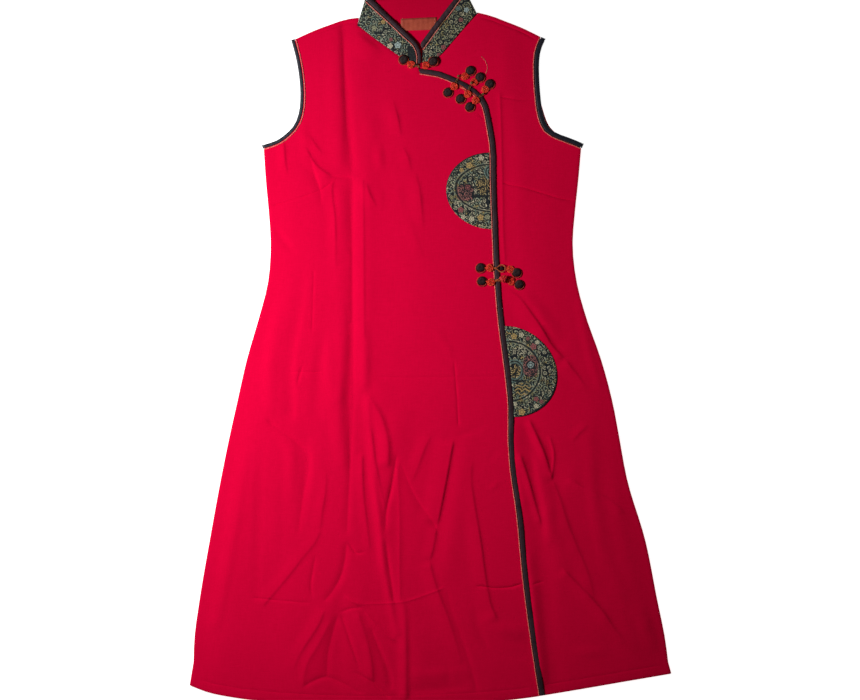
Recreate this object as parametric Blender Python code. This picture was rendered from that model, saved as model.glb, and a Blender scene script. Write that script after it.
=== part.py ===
"""A sleeveless cheongsam laid flat on a surface, front side up.

X runs across the garment, Y from the hem to the collar, and Z up from the surface.
The origin is on the surface, in the middle of the garment. Tables are in millimetres.
"""

import math

import bmesh
import bpy
from mathutils import Vector
from mathutils.geometry import delaunay_2d_cdt

MM = 0.001

# Thickness of each cloth and the space between pieces
CLOTH = 1.2 * MM
COLLAR_CLOTH = 1.0 * MM
MEDALLION_CLOTH = 1.0 * MM
LABEL_CLOTH = 1.0 * MM
GAP = 0.3 * MM

# Narrow trims
BINDING_WIDTH = 7.0 * MM
BINDING_THICKNESS = 1.7 * MM
PIPING_WIDTH = 1.6 * MM
PIPING_HEIGHT = 0.9 * MM

# How far the front stands off the back inside its pressed edges
FRONT_LIFT = 1.5 * MM
UNDER_LIFT = 1.1 * MM
PRESSED_BORDER = 45 * MM
PLACKET_FLAT = 30 * MM
HIGHEST_GAP = 3.9 * MM

# Facets of the cloth
GRID_X = 13 * MM
GRID_Y = 38 * MM
MERGE = 0.02 * MM

# Frog closures
STEM_HEIGHT = 1.4 * MM
STEM_WIDTH = 2.0 * MM
LOOP_CORD = 1.3 * MM
DISC_STEPS = 12
DISC_PROFILE = ((7.6, 0.0), (7.6, 1.5), (6.2, 1.7), (5.7, 2.9), (0.0, 3.5))
COIL_PROFILE = ((5.6, 0.0), (5.5, 1.6), (0.0, 2.2))

# Side seams: station, height, left seam, right seam
SIDE_SEAMS = (
    ("underarm", 281.5, -236.4, 213.4),
    ("bust", 237, -233.5, 209.5),
    ("under bust", 194.5, -229.5, 205),
    ("waist", 145, -226.5, 201.5),
    ("high hip", 88, -231, 208),
    ("mid hip", 45.5, -242, 219.5),
    ("hip", -18.5, -260.5, 242),
    ("low hip", -82.5, -275, 259),
    ("thigh", -125, -284.5, 267),
    ("mid thigh", -189, -297.5, 279),
    ("low thigh", -274, -313, 304.5),
    ("knee", -359, -327.5, 321.5),
    ("above hem", -416, -335, 333),
    ("near hem", -447, -336, 337),
)
# Hem, from the left seam to the right one
HEM = (
    (-341.5, -480), (-320, -488.5), (-277.5, -497.5), (-221, -504), (-143, -508.5), (-65, -509.5),
    (13.5, -507.5), (127, -499), (212.5, -485.5), (276, -474.5), (341.5, -463.5),
)
# Shoulders, from the armhole to the neck
SHOULDER_LEFT = ((-192, 436.4), (-165.5, 448.5), (-142.5, 457), (-120, 464.5), (-101.6, 466.8))
SHOULDER_RIGHT = ((156.3, 439.6), (130, 452.5), (107, 461.5), (84.5, 470), (66.2, 474.4))

# Armholes, from the shoulder to the underarm: seam, widths of the binding in front and behind, how far the
# back's seam lies past the front's
ARMHOLES = {
    "left": (
        (
            (-192, 435.7), (-185.5, 411), (-181, 384), (-179.3, 357), (-182, 329.5), (-189.3, 311.5),
            (-202, 298), (-214.5, 289), (-236.4, 281.5),
        ),
        5.5,
        5.5,
        0.0,
    ),
    "right": (
        (
            (156.3, 438.8), (150, 424), (147.3, 406), (147.3, 384), (149, 357), (152, 333.5),
            (156.3, 317), (164.5, 304.5), (177, 297), (197, 289.5), (213.4, 282.6),
        ),
        7.0,
        4.5,
        9.0,
    ),
}

# Collar: the neck seam, the seam of the binding and the top edge, each from the side fold to the centre front
COLLAR_LEFT = {
    "neck": ((-101.5, 455), (-84.5, 441.5), (-64.5, 427), (-42, 411), (-29, 403.5), (-18, 398.2)),
    "seam": ((-91.2, 490.6), (-57.5, 459.5), (-35, 438), (-22.6, 426), (-18.4, 415.5), (-18.3, 402)),
    "top": ((-88.8, 500), (-57.5, 468.5), (-32, 444), (-18.5, 430), (-13.4, 418.5), (-12.8, 402)),
}
COLLAR_RIGHT = {
    "neck": ((64, 471.4), (44.5, 449.5), (27.5, 429.5), (10.5, 411.4), (-11.6, 399.2)),
    "seam": ((48.2, 502.2), (27.7, 474.3), (7.8, 448.7), (-11.4, 422)),
    "top": ((45, 508.3), (22, 479), (2, 453), (-14.6, 430.5)),
}
COLLAR_BACK = {
    "neck": ((-101.5, 455), (-60.5, 464.3), (-19, 468), (22, 470), (64, 471.4)),
    "seam": ((-91.2, 490.6), (-22, 495.3), (48.2, 502.2)),
    "top": ((-88.8, 500), (-22, 504.2), (45, 508.3)),
}

# Front opening, from the collar to the hem: the seam of its binding
PLACKET = (
    (-15, 388.2), (2, 385.6), (12, 383.8), (30, 376.3), (55.5, 362.8), (66.3, 354.3), (72.7, 345.6),
    (77, 331), (81.2, 308.5), (85, 285), (86, 239.5), (88.2, 176), (91.2, 105), (97.6, 31),
    (106.2, -34.5), (111, -82.5), (111.2, -132), (114.7, -179), (121.7, -226), (132.3, -332.5),
    (143, -414.5), (155.2, -495),
)
# Edge of the under panel that the over panel hides
UNDERLAP = (
    (-11, 396.5), (-9, 372), (2, 345), (15, 305), (24, 240), (28, 150), (36, 40),
    (48, -60), (52, -150), (62, -250), (78, -380), (94, -502),
)

# Half medallions: centre, width beside the opening, half height
MEDALLION_UPPER = ((86.0, 221.5), 62.0, 54.0)
MEDALLION_LOWER = ((110.8, -34.8), 65.5, 64.5)
LABEL_CORNERS = ((-42, 465.5), (-41.5, 449), (8, 450.5), (8, 467.6))

# Folds: name, start, end, reach to its left, reach to its right, height at its start and at its end
OVER_FOLDS = (
    ("shoulder valley", (-122, 452), (-113, 237), 16, 12, -0.5, -1.4),
    ("waist valley", (-113, 237), (-113, 66), 16, 12, -1.4, -1.5),
    ("hip valley", (-113, 66), (-111, -70), 18, 12, -1.5, -1.5),
    ("shoulder crest", (-104, 440), (-94, 237), 14, 26, 0.4, 1.5),
    ("waist crest", (-94, 237), (-94, 66), 14, 24, 1.5, 1.5),
    ("hip crest", (-94, 66), (-94, -60), 14, 22, 1.5, 1.6),
    ("dart valley", (-140, 232), (-135, 110), 14, 12, -1.2, -0.8),
    ("dart crest", (-127, 220), (-127, 10), 12, 12, 1.2, 1.0),
    ("bust drape", (-168, 268), (-122, 216), 16, 16, -1.0, -1.0),
    ("hip shoulder fold", (-213, -122), (-178, -146), 16, 16, -1.2, -1.4),
    ("hip hanging fold", (-178, -146), (-178, -250), 18, 16, -1.4, -0.6),
    ("thigh crest", (-80, -66), (-52, -118), 16, 22, 1.6, 2.2),
    ("thigh crest end", (-52, -118), (-48, -190), 16, 22, 2.2, 0.8),
    ("thigh valley", (-111, -70), (-93, -193), 16, 14, -1.5, -1.4),
    ("knee valley", (-93, -193), (-83, -276), 16, 14, -1.4, -1.4),
    ("shin valley", (-83, -276), (-38, -452), 18, 16, -1.4, -1.0),
    ("knee crest", (-74, -150), (-62, -290), 14, 20, 1.8, 1.8),
    ("shin crest", (-62, -290), (-14, -452), 16, 24, 1.8, 1.2),
    ("middle bend", (-21, -212), (9, -263), 18, 16, -1.3, -1.4),
    ("middle valley", (32, -142), (9, -263), 20, 20, -1.2, -1.5),
    ("middle valley end", (9, -263), (0, -308), 20, 20, -1.5, -0.8),
    ("middle crest", (44, -150), (26, -300), 18, 22, 1.4, 1.2),
    ("placket wave", (60, -184), (74, -304), 18, 18, -1.1, -1.2),
    ("placket wave end", (74, -304), (98, -392), 18, 18, -1.2, -0.6),
    ("hem fan left", (-142, -372), (-186, -480), 20, 20, 1.6, 1.4),
    ("hem fan inner", (-128, -380), (-138, -500), 16, 16, -1.2, -1.0),
    ("hem fan middle", (-112, -372), (-84, -500), 16, 18, 1.7, 1.5),
    ("hem fan right", (-96, -360), (-40, -480), 14, 16, -1.3, -1.0),
    ("left broad wave", (-262, -60), (-300, -440), 34, 38, 0.9, 1.2),
    ("left second wave", (-214, -170), (-232, -440), 30, 34, -0.9, -0.8),
    ("chest wave", (-40, 330), (-12, 60), 44, 44, 0.9, 0.7),
    ("side wave", (-205, 190), (-222, 20), 18, 22, 0.8, 0.9),
)
UNDER_FOLDS = (
    ("waist diagonal", (112, 76), (188, -12), 16, 12, -0.9, -1.0),
    ("waist diagonal crest", (104, 58), (180, -32), 18, 18, 0.8, 1.2),
    ("hip diagonal", (188, -12), (216, -48), 16, 14, -1.0, -0.6),
    ("thigh valley", (126, -152), (158, -250), 14, 14, -1.0, -1.1),
    ("thigh crest", (142, -150), (176, -262), 16, 18, 1.7, 1.4),
    ("knee valley", (153, -132), (175, -190), 16, 16, -1.0, -1.1),
    ("knee crest", (176, -262), (186, -400), 18, 22, 1.4, 0.6),
    ("side bend", (194, -188), (272, -228), 18, 20, 1.2, 1.1),
    ("shin diagonal", (190, -302), (252, -392), 18, 22, 1.2, 1.1),
    ("right broad wave", (238, -60), (286, -420), 30, 30, 0.9, 1.1),
    ("shoulder wave", (104, 440), (116, 110), 20, 26, 0.7, 0.8),
)

# Frogs: outer disc, coil, knot, coil and outer disc, from left to right
FROGS = {
    "collar": ((-38.1, 407.3), (-28, 399.9), (-16.6, 397.3), (-7.1, 399.6), (3.8, 404.7)),
    "bust_upper": ((25.1, 361.5), (34.2, 369.2), (40.4, 385.2), (48.6, 385.2), (56.8, 393.3)),
    "bust_middle": ((42.7, 352), (52.7, 359.3), (58.4, 374.4), (64.4, 377), (71.9, 384.8)),
    "bust_lower": ((56.4, 341.1), (64, 349.3), (76.6, 360), (79.6, 367.4), (86.5, 375.7)),
    "waist_upper": ((71.3, 112.7), (84.6, 111.6), (102.4, 111.3), (113.4, 110), (123.4, 106.2)),
    "waist_lower": ((73, 93.9), (85.8, 92.4), (103.1, 94.8), (114.7, 92.4), (126, 89.2)),
}
# Radius of a frog's loop, of the loop's hole and of the knot
SMALL_KNOT = (2.7, 1.3, 2.2)
KNOTS = {"waist_upper": (5.4, 3.7, 3.3), "waist_lower": (5.0, 2.2, 4.3)}

# Colours in linear light, with roughness
FINISHES = {
    "red_cloth": ((0.62, 0.004, 0.04), 0.85),
    "brocade": ((0.06, 0.075, 0.06), 0.6),
    "dark_satin": ((0.028, 0.018, 0.022), 0.45),
    "coral_cord": ((0.62, 0.08, 0.05), 0.6),
    "label_weave": ((0.33, 0.06, 0.03), 0.7),
}

# Heights of the stacked layers
UNDER_BASE = CLOTH + GAP
BACK_LINING = COLLAR_CLOTH + GAP
COLLAR_MIDDLE = BACK_LINING + COLLAR_CLOTH + GAP
FRONT_LINING = COLLAR_MIDDLE + GAP
FRONT_SHELL = FRONT_LINING + COLLAR_CLOTH + GAP
COLLAR_TOP = FRONT_SHELL + COLLAR_CLOTH
COLLAR_BINDING_TOP = COLLAR_TOP + GAP
COLLAR_FROG_BASE = COLLAR_BINDING_TOP + GAP


def metres(table):
    return [Vector((x * MM, y * MM)) for x, y in table]


def resampled(points, count):
    """Points at equal steps along a line through the given ones."""
    steps = [0.0]
    for a, b in zip(points, points[1:]):
        steps.append(steps[-1] + (b - a).length)
    made = []
    segment = 0
    for i in range(count):
        wanted = steps[-1] * i / (count - 1)
        while segment < len(points) - 2 and steps[segment + 1] < wanted:
            segment += 1
        share = (wanted - steps[segment]) / (steps[segment + 1] - steps[segment])
        made.append(points[segment].lerp(points[segment + 1], min(1.0, share)))
    return made


def curve(table, count, finer=10):
    """A smooth line through a table of points, as count points at equal steps."""
    points = metres(table)
    chords = [(b - a).length for a, b in zip(points, points[1:])]
    slopes = [(b - a) / c for a, b, c in zip(points, points[1:], chords)]
    tangents = [slopes[0]]
    for i in range(1, len(points) - 1):
        before, after = chords[i - 1], chords[i]
        tangents.append((slopes[i - 1] * after + slopes[i] * before) / (before + after))
    tangents.append(slopes[-1])
    fine = []
    for i, chord in enumerate(chords):
        for k in range(finer):
            t = k / finer
            fine.append(
                points[i] * (2 * t**3 - 3 * t**2 + 1)
                + tangents[i] * chord * (t**3 - 2 * t**2 + t)
                + points[i + 1] * (3 * t**2 - 2 * t**3)
                + tangents[i + 1] * chord * (t**3 - t**2)
            )
    fine.append(points[-1])
    return resampled(fine, count)


def moved_aside(points, distance):
    """The line moved to the left of its own direction."""
    made = []
    for i, point in enumerate(points):
        before = points[max(i - 1, 0)]
        after = points[min(i + 1, len(points) - 1)]
        along = (after - before).normalized()
        made.append(point + Vector((-along.y, along.x)) * distance)
    return made


def distance_to(point, line):
    """Shortest distance from a point to a line of points."""
    nearest = math.inf
    for a, b in zip(line, line[1:]):
        along = b - a
        share = max(0.0, min(1.0, (point - a).dot(along) / along.length_squared))
        nearest = min(nearest, (point - a - along * share).length)
    return nearest


def x_at(line, y):
    """Where a line that runs down the garment crosses a height."""
    for a, b in zip(line, line[1:]):
        if min(a.y, b.y) <= y <= max(a.y, b.y) and a.y != b.y:
            return a.x + (b.x - a.x) * (y - a.y) / (b.y - a.y)
    return line[0].x if y > line[0].y else line[-1].x


def from_opening(point):
    """Distance from the opening's seam: above zero on the under panel's side, below on the other."""
    away = distance_to(point, PLACKET_LINE)
    return away if point.x > x_at(PLACKET_LINE, point.y) else -away


def eased(value):
    value = max(0.0, min(1.0, value))
    return value * value * (3 - 2 * value)


def side_seam(column, count=40):
    return curve([(row[column], row[1]) for row in SIDE_SEAMS], count)


# Lines that several pieces share
LEFT_SEAM = side_seam(2)
RIGHT_SEAM = side_seam(3)
HEM_LINE = curve(HEM, 60)
PLACKET_LINE = curve(PLACKET, 72)
UNDERLAP_LINE = curve(UNDERLAP, 30)
SHOULDERS = {"left": curve(SHOULDER_LEFT, 8), "right": curve(SHOULDER_RIGHT, 8)}
ARMHOLE_STEPS = 18
ARMHOLE_SEAMS = {side: curve(row[0], ARMHOLE_STEPS) for side, row in ARMHOLES.items()}
COLLAR_STEPS = 14
LEFT_BORDER = SHOULDERS["left"][::-1] + ARMHOLE_SEAMS["left"] + LEFT_SEAM[1:] + HEM_LINE[:1]
RIGHT_BORDER = SHOULDERS["right"][::-1] + ARMHOLE_SEAMS["right"] + RIGHT_SEAM[1:] + HEM_LINE[-1:]


def outward(side):
    """Which way is away from the garment's middle, for a line that runs down its side."""
    return -1 if side == "left" else 1


def armhole_edge(side, width):
    """A line beside the armhole's seam, where the binding has its free edge."""
    return moved_aside(ARMHOLE_SEAMS[side], outward(side) * width * MM)


def behind_armhole(side, line):
    """A line of the front's armhole as the back has it, furthest aside at two thirds of the way down."""
    shows = outward(side) * ARMHOLES[side][3] * MM
    made = []
    for k, (point, aside) in enumerate(zip(line, moved_aside(line, shows))):
        share = k / (len(line) - 1)
        made.append(point.lerp(aside, math.sin(math.pi * share**1.6) ** 2))
    return made


# The shape of the cloth, at the corners of a grid
def fold_height(point, folds):
    """How far the folds raise or lower the cloth at a point."""
    total = 0.0
    for _, start, end, reach_left, reach_right, first, last in folds:
        a, b = Vector(start) * MM, Vector(end) * MM
        along = b - a
        share = (point - a).dot(along) / along.length_squared
        near = a + along * max(0.0, min(1.0, share))
        away = point - near
        on_right = away.x > 0
        reach = (reach_right if on_right else reach_left) * MM
        if away.length < reach:
            bump = 0.5 + 0.5 * math.cos(math.pi * away.length / reach)
            total += bump * (first + (last - first) * max(0.0, min(1.0, share))) * MM
    return total


def under_bottom(point):
    """Underside of the under panel: flat beneath the opening, lifted between there and its seams."""
    inside = eased(distance_to(point, RIGHT_BORDER) / PRESSED_BORDER)
    inside *= eased((point.y - HEM_LINE[-1].y) / PRESSED_BORDER + 1.0)
    clear = eased((from_opening(point) - BINDING_WIDTH - GRID_X) / PLACKET_FLAT)
    lift = clear * inside * (UNDER_LIFT + fold_height(point, UNDER_FOLDS))
    return UNDER_BASE + max(0.0, min(HIGHEST_GAP - GAP, lift))


def over_bottom(point):
    """Underside of the over panel: it lies on the back at its seams and on the under panel at the opening."""
    inside = eased(distance_to(point, LEFT_BORDER) / PRESSED_BORDER)
    hem = min(HEM_LINE, key=lambda p: abs(p.x - point.x)).y
    inside *= 0.35 + 0.65 * eased((point.y - hem) / PRESSED_BORDER)
    placket = eased((-from_opening(point) - 2 * GRID_X) / PLACKET_FLAT)
    folds = fold_height(point, OVER_FOLDS) * placket
    lift = max(0.0, min(HIGHEST_GAP - GAP, inside * (FRONT_LIFT + folds)))
    on_under = point.x > x_at(UNDERLAP_LINE, point.y) - 2 * GRID_X
    at_neck = point.y > PLACKET_LINE[0].y - GRID_Y and point.x > COLLAR_LEFT["neck"][0][0] * MM - GRID_X
    if on_under or at_neck:
        lift = max(lift, under_bottom(point) - UNDER_BASE + CLOTH + GAP)
    return UNDER_BASE + lift


def on_grid(height):
    """A height that is straight between the corners of the grid, so pieces cut on the grid lie true on it."""
    known = {}

    def corner(i, j):
        if (i, j) not in known:
            known[i, j] = height(Vector((i * GRID_X, j * GRID_Y)))
        return known[i, j]

    def between(point):
        u, v = point.x / GRID_X, point.y / GRID_Y
        i, j = math.floor(u), math.floor(v)
        u, v = u - i, v - j
        if u > v:
            return (
                corner(i, j) * (1 - u) + corner(i + 1, j) * (u - v) + corner(i + 1, j + 1) * v
            )
        return corner(i, j) * (1 - v) + corner(i, j + 1) * (v - u) + corner(i + 1, j + 1) * u

    return between


UNDER = on_grid(under_bottom)
OVER = on_grid(over_bottom)


def above(surface, distance):
    return lambda point: surface(point) + distance


def without_repeats(line):
    """The closed outline with points that fall on the one before left out."""
    kept = []
    for point in line:
        if not kept or (point - kept[-1]).length > MERGE:
            kept.append(point)
    while (kept[0] - kept[-1]).length <= MERGE:
        kept.pop()
    return kept


def grid_edges(low, high):
    """Corners and edges of the grid that covers a box, each square with one diagonal."""
    first_i, last_i = math.floor(low.x / GRID_X), math.ceil(high.x / GRID_X)
    first_j, last_j = math.floor(low.y / GRID_Y), math.ceil(high.y / GRID_Y)
    columns = range(first_i, last_i + 1)
    rows = range(first_j, last_j + 1)
    index = {}
    points = []
    for i in columns:
        for j in rows:
            index[i, j] = len(points)
            points.append(Vector((i * GRID_X, j * GRID_Y)))
    edges = []
    for (i, j), here in index.items():
        for step in ((1, 0), (0, 1), (1, 1)):
            there = index.get((i + step[0], j + step[1]))
            if there is not None:
                edges.append((here, there))
    return points, edges


def cut_on_grid(outline, flat):
    """The outline as triangles that end where the grid's lines are, or without a grid where it lies flat."""
    outline = without_repeats(outline)
    area = sum(a.cross(b) for a, b in zip(outline, outline[1:] + outline[:1]))
    if area < 0:
        outline.reverse()
    low = Vector((min(p.x for p in outline), min(p.y for p in outline)))
    high = Vector((max(p.x for p in outline), max(p.y for p in outline)))
    corners, edges = ([], []) if flat else grid_edges(low, high)
    count = len(outline)
    edges = [(a + count, b + count) for a, b in edges]
    points, _, faces, _, _, sources = delaunay_2d_cdt(
        outline + corners, edges, [list(range(count))], 0, MERGE
    )
    return points, [face for face, source in zip(faces, sources) if source]


# Making the solids
def add_node(name, mesh, finish):
    """An object with a material of its own."""
    colour, roughness = FINISHES[finish]
    made = bpy.data.materials.new(name)
    made.use_nodes = True
    shader = made.node_tree.nodes["Principled BSDF"]
    shader.inputs["Base Color"].default_value = (*colour, 1.0)
    shader.inputs["Roughness"].default_value = roughness
    shader.inputs["Metallic"].default_value = 0.0
    made.diffuse_color = (*colour, 1.0)
    mesh.materials.clear()
    mesh.materials.append(made)
    bpy.context.scene.collection.objects.link(bpy.data.objects.new(name, mesh))


def add_wall(name, outline, bottom, thickness, finish):
    """A cloth wall with the given outline, lying on the surface below it where one is given."""
    points, faces = cut_on_grid(outline, bottom is None)
    used = sorted({corner for face in faces for corner in face})
    new = {old: i for i, old in enumerate(used)}
    count = len(used)
    lower = [(*points[k], bottom(points[k]) if bottom else 0.0) for k in used]
    upper = [(x, y, z + thickness) for x, y, z in lower]
    faces = [[new[k] for k in face] for face in faces]
    solid = [[k + count for k in face] for face in faces] + [face[::-1] for face in faces]
    directed = {(a, b) for face in faces for a, b in zip(face, face[1:] + face[:1])}
    solid += [[a, b, b + count, a + count] for a, b in directed if (b, a) not in directed]
    mesh = bpy.data.meshes.new(name)
    mesh.from_pydata(lower + upper, [], solid)
    add_node(name, mesh, finish)


def add_strip(name, line, start, end, bottom, thickness, finish):
    """A narrow wall that follows a line, from one distance beside it to another."""
    outline = moved_aside(line, start) + moved_aside(line, end)[::-1]
    return add_wall(name, outline, bottom, thickness, finish)


def add_ribbon(name, stations, closed, finish):
    """A solid through four-cornered stations, round to the first again where it is closed."""
    mesh = bpy.data.meshes.new(name)
    shape = bmesh.new()
    rings = [[shape.verts.new(corner) for corner in station] for station in stations]
    pairs = list(zip(rings, rings[1:]))
    if closed:
        pairs.append((rings[-1], rings[0]))
    else:
        shape.faces.new(rings[0])
        shape.faces.new(rings[-1])
    for one, other in pairs:
        for k in range(4):
            following = (k + 1) % 4
            shape.faces.new((one[k], one[following], other[following], other[k]))
    bmesh.ops.recalc_face_normals(shape, faces=shape.faces)
    shape.to_mesh(mesh)
    shape.free()
    add_node(name, mesh, finish)


def station(near, far, outer, inner):
    """Four corners across a strip: its outer face and its inner face, at two heights."""
    return [(*near, outer), (*far, outer), (*far, inner), (*near, inner)]


def turn(near, far, outwards, middle, radii, steps=5):
    """Stations round a fold, from the front over the edge to the back."""
    front, back, inner = radii
    made = []
    for k in range(1, steps):
        angle = math.pi * (0.5 - k / steps)
        outer = front + (back - front) * k / steps
        corners = []
        for radius in (outer, inner):
            reach = outwards * radius * math.cos(angle)
            height = middle + radius * math.sin(angle)
            corners.append([(*(near + reach), height), (*(far + reach), height)])
        made.append([corners[0][0], corners[0][1], corners[1][1], corners[1][0]])
    return made


def add_armhole_binding(side):
    """One strip round the armhole: down its front, under at the underarm and up its back."""
    _, front_width, back_width, _ = ARMHOLES[side]
    near = moved_aside(ARMHOLE_SEAMS[side], outward(side) * GAP)
    far = armhole_edge(side, front_width)
    front = [station(a, b, UNDER_BASE + BINDING_THICKNESS, UNDER_BASE) for a, b in zip(near, far)]
    back_edges = zip(behind_armhole(side, near), behind_armhole(side, armhole_edge(side, back_width)))
    back = [station(a, b, 0.0, CLOTH) for a, b in back_edges]
    middle = CLOTH + GAP / 2
    radii = (UNDER_BASE + BINDING_THICKNESS - middle, middle, GAP / 2)
    down = (near[-1] - near[-2]).normalized()
    up = (near[0] - near[1]).normalized()
    low_turn = turn(near[-1], far[-1], down, middle, radii)
    high_turn = turn(near[0], far[0], up, middle, radii)[::-1]
    stations = front + low_turn + back[::-1] + high_turn
    add_ribbon(f"armhole_binding_{side}", stations, True, "dark_satin")


def collar_line(table, edge, upwards):
    """One edge of the collar, moved a little towards its top."""
    to_the_top = -1 if table is COLLAR_RIGHT else 1
    return moved_aside(curve(table[edge], COLLAR_STEPS), to_the_top * upwards)


def across(table, start, end):
    """Each pair of points across the collar between two of its edges."""
    return list(zip(collar_line(table, *start), collar_line(table, *end)))


def add_collar_layer(name, start, end, front, back, finish):
    """One strip of the collar, from the centre front round the back, folded at both sides."""
    left = across(COLLAR_LEFT, start, end)
    right = across(COLLAR_RIGHT, start, end)
    behind = across(COLLAR_BACK, start, end)
    behind[0], behind[-1] = left[0], right[0]
    radii = (front[0] - COLLAR_MIDDLE, COLLAR_MIDDLE - back[0], front[1] - COLLAR_MIDDLE)
    folds = []
    for (near, far), away in ((left[0], -1), (right[0], 1)):
        along = (far - near).normalized()
        outwards = Vector((along.y, -along.x)) * away
        folds.append(turn(near, far, outwards, COLLAR_MIDDLE, radii))
    stations = [station(a, b, *front) for a, b in left[::-1]]
    stations += folds[0] + [station(a, b, *back) for a, b in behind]
    stations += folds[1][::-1] + [station(a, b, *front) for a, b in right]
    add_ribbon(name, stations, False, finish)


def add_collar():
    neck, top = ("neck", 0.0), ("top", 0.0)
    below, beyond = ("seam", -GAP / 2), ("seam", GAP / 2)
    shell = (COLLAR_TOP, FRONT_SHELL)
    add_collar_layer("collar_shell", neck, below, shell, (0.0, COLLAR_CLOTH), "brocade")
    lining = (FRONT_LINING + COLLAR_CLOTH, FRONT_LINING)
    behind = (BACK_LINING, BACK_LINING + COLLAR_CLOTH)
    add_collar_layer("collar_lining", neck, below, lining, behind, "red_cloth")
    edge = (COLLAR_BINDING_TOP, FRONT_LINING)
    behind = (0.0, BACK_LINING + COLLAR_CLOTH)
    add_collar_layer("collar_binding", beyond, top, edge, behind, "dark_satin")
    for side, table in (("left", COLLAR_LEFT), ("right", COLLAR_RIGHT)):
        low = COLLAR_TOP + GAP
        pairs = across(table, ("seam", -1.5 * GAP), ("seam", -1.5 * GAP - PIPING_WIDTH))
        stations = [station(near, far, low + PIPING_HEIGHT, low) for near, far in pairs]
        add_ribbon(f"collar_piping_{side}", stations, False, "coral_cord")


def neckline(table, toward):
    """The edge of a panel beside the collar."""
    return moved_aside(curve(table["neck"], COLLAR_STEPS), toward * GAP)


def neck_corner(table, away):
    """The corner of a panel at the neck point, clear of the collar's side fold."""
    near, far = metres((table["neck"][0], table["seam"][0]))
    along = (far - near).normalized()
    return near + Vector((along.y, -along.x)) * away * (COLLAR_TOP - COLLAR_MIDDLE + GAP) - along * GAP


def add_panels():
    left_corner = neck_corner(COLLAR_LEFT, -1)
    right_corner = neck_corner(COLLAR_RIGHT, 1)
    outline = (
        neckline(COLLAR_BACK, -1)
        + [right_corner]
        + SHOULDERS["right"][::-1]
        + behind_armhole("right", ARMHOLE_SEAMS["right"])
        + RIGHT_SEAM
        + HEM_LINE[::-1]
        + LEFT_SEAM[::-1]
        + ARMHOLE_SEAMS["left"][::-1]
        + SHOULDERS["left"]
        + [left_corner]
    )
    add_wall("back_panel", outline, None, CLOTH, "red_cloth")
    hem = [p for p in HEM_LINE if p.x < PLACKET_LINE[-1].x - GAP]
    outline = (
        neckline(COLLAR_LEFT, -1)
        + PLACKET_LINE
        + hem[::-1]
        + LEFT_SEAM[::-1]
        + ARMHOLE_SEAMS["left"][::-1]
        + SHOULDERS["left"]
        + [left_corner]
    )
    add_wall("front_panel_over", outline, OVER, CLOTH, "red_cloth")
    hem = [p for p in HEM_LINE if p.x > UNDERLAP_LINE[-1].x + GAP]
    outline = (
        neckline(COLLAR_RIGHT, 1)
        + UNDERLAP_LINE
        + hem
        + RIGHT_SEAM[::-1]
        + ARMHOLE_SEAMS["right"][::-1]
        + SHOULDERS["right"]
        + [right_corner]
    )
    add_wall("front_panel_under", outline, UNDER, CLOTH, "red_cloth")


def add_trims():
    below_collar = [PLACKET_LINE[0].lerp(PLACKET_LINE[1], 0.1)] + PLACKET_LINE[1:]
    add_strip(
        "placket_binding", below_collar, GAP, BINDING_WIDTH,
        above(UNDER, CLOTH + GAP), BINDING_THICKNESS, "dark_satin",
    )
    add_strip(
        "placket_piping", PLACKET_LINE, -GAP, -GAP - PIPING_WIDTH,
        above(OVER, CLOTH + GAP), PIPING_HEIGHT, "coral_cord",
    )
    for side, panel in (("left", OVER), ("right", UNDER)):
        away = outward(side)
        add_armhole_binding(side)
        add_strip(
            f"armhole_piping_{side}", ARMHOLE_SEAMS[side], -away * GAP, -away * (GAP + PIPING_WIDTH),
            above(panel, CLOTH + GAP), PIPING_HEIGHT, "coral_cord",
        )


def half_round(centre, width, half_height, straight_side, away, steps=24):
    """A half disc whose straight side follows the opening."""
    side, arc = [], []
    for k in range(steps + 1):
        angle = math.pi * (k / steps - 0.5)
        y = centre.y + half_height * math.sin(angle)
        side.append(Vector((x_at(straight_side, y), y)))
        if 0 < k < steps:
            arc.append(side[-1] + Vector((away * width * math.cos(angle), 0)))
    return side[::-1] + arc


def add_medallions():
    centre, width, half_height = MEDALLION_UPPER
    side = moved_aside(PLACKET_LINE, -(PIPING_WIDTH + 2 * GAP))
    outline = half_round(Vector(centre) * MM, width * MM, half_height * MM, side, -1)
    add_wall("medallion_upper", outline, above(OVER, CLOTH + GAP), MEDALLION_CLOTH, "brocade")
    centre, width, half_height = MEDALLION_LOWER
    side = moved_aside(PLACKET_LINE, BINDING_WIDTH + GAP)
    outline = half_round(Vector(centre) * MM, width * MM, half_height * MM, side, 1)
    add_wall("medallion_lower", outline, above(UNDER, CLOTH + GAP), MEDALLION_CLOTH, "brocade")


def add_label():
    outline = metres(LABEL_CORNERS)
    low = CLOTH + GAP
    stations = [station(outline[k], outline[3 - k], low + LABEL_CLOTH, low) for k in (0, 1)]
    add_ribbon("neck_label", stations, False, "label_weave")


# Frog closures, each half one body
def around(centre, radius, steps):
    """Points on a circle."""
    turns = [2 * math.pi * k / steps for k in range(steps)]
    return [centre + Vector((math.cos(turn), math.sin(turn))) * radius for turn in turns]


def lathe(profile, centre, base, steps):
    """A round solid from a profile of radius and height, outer side first, closed underneath."""
    shape = bmesh.new()
    rings = []
    for radius, height in profile[:-1]:
        rings.append([shape.verts.new((*spot, base + height)) for spot in around(centre, radius, steps)])
    top = shape.verts.new((*centre, base + profile[-1][1]))
    shape.faces.new(rings[0])
    for one, other in zip(rings, rings[1:]):
        for k in range(steps):
            following = (k + 1) % steps
            shape.faces.new((one[k], one[following], other[following], other[k]))
    for k in range(steps):
        shape.faces.new((rings[-1][k], rings[-1][(k + 1) % steps], top))
    bmesh.ops.recalc_face_normals(shape, faces=shape.faces)
    return shape


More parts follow.
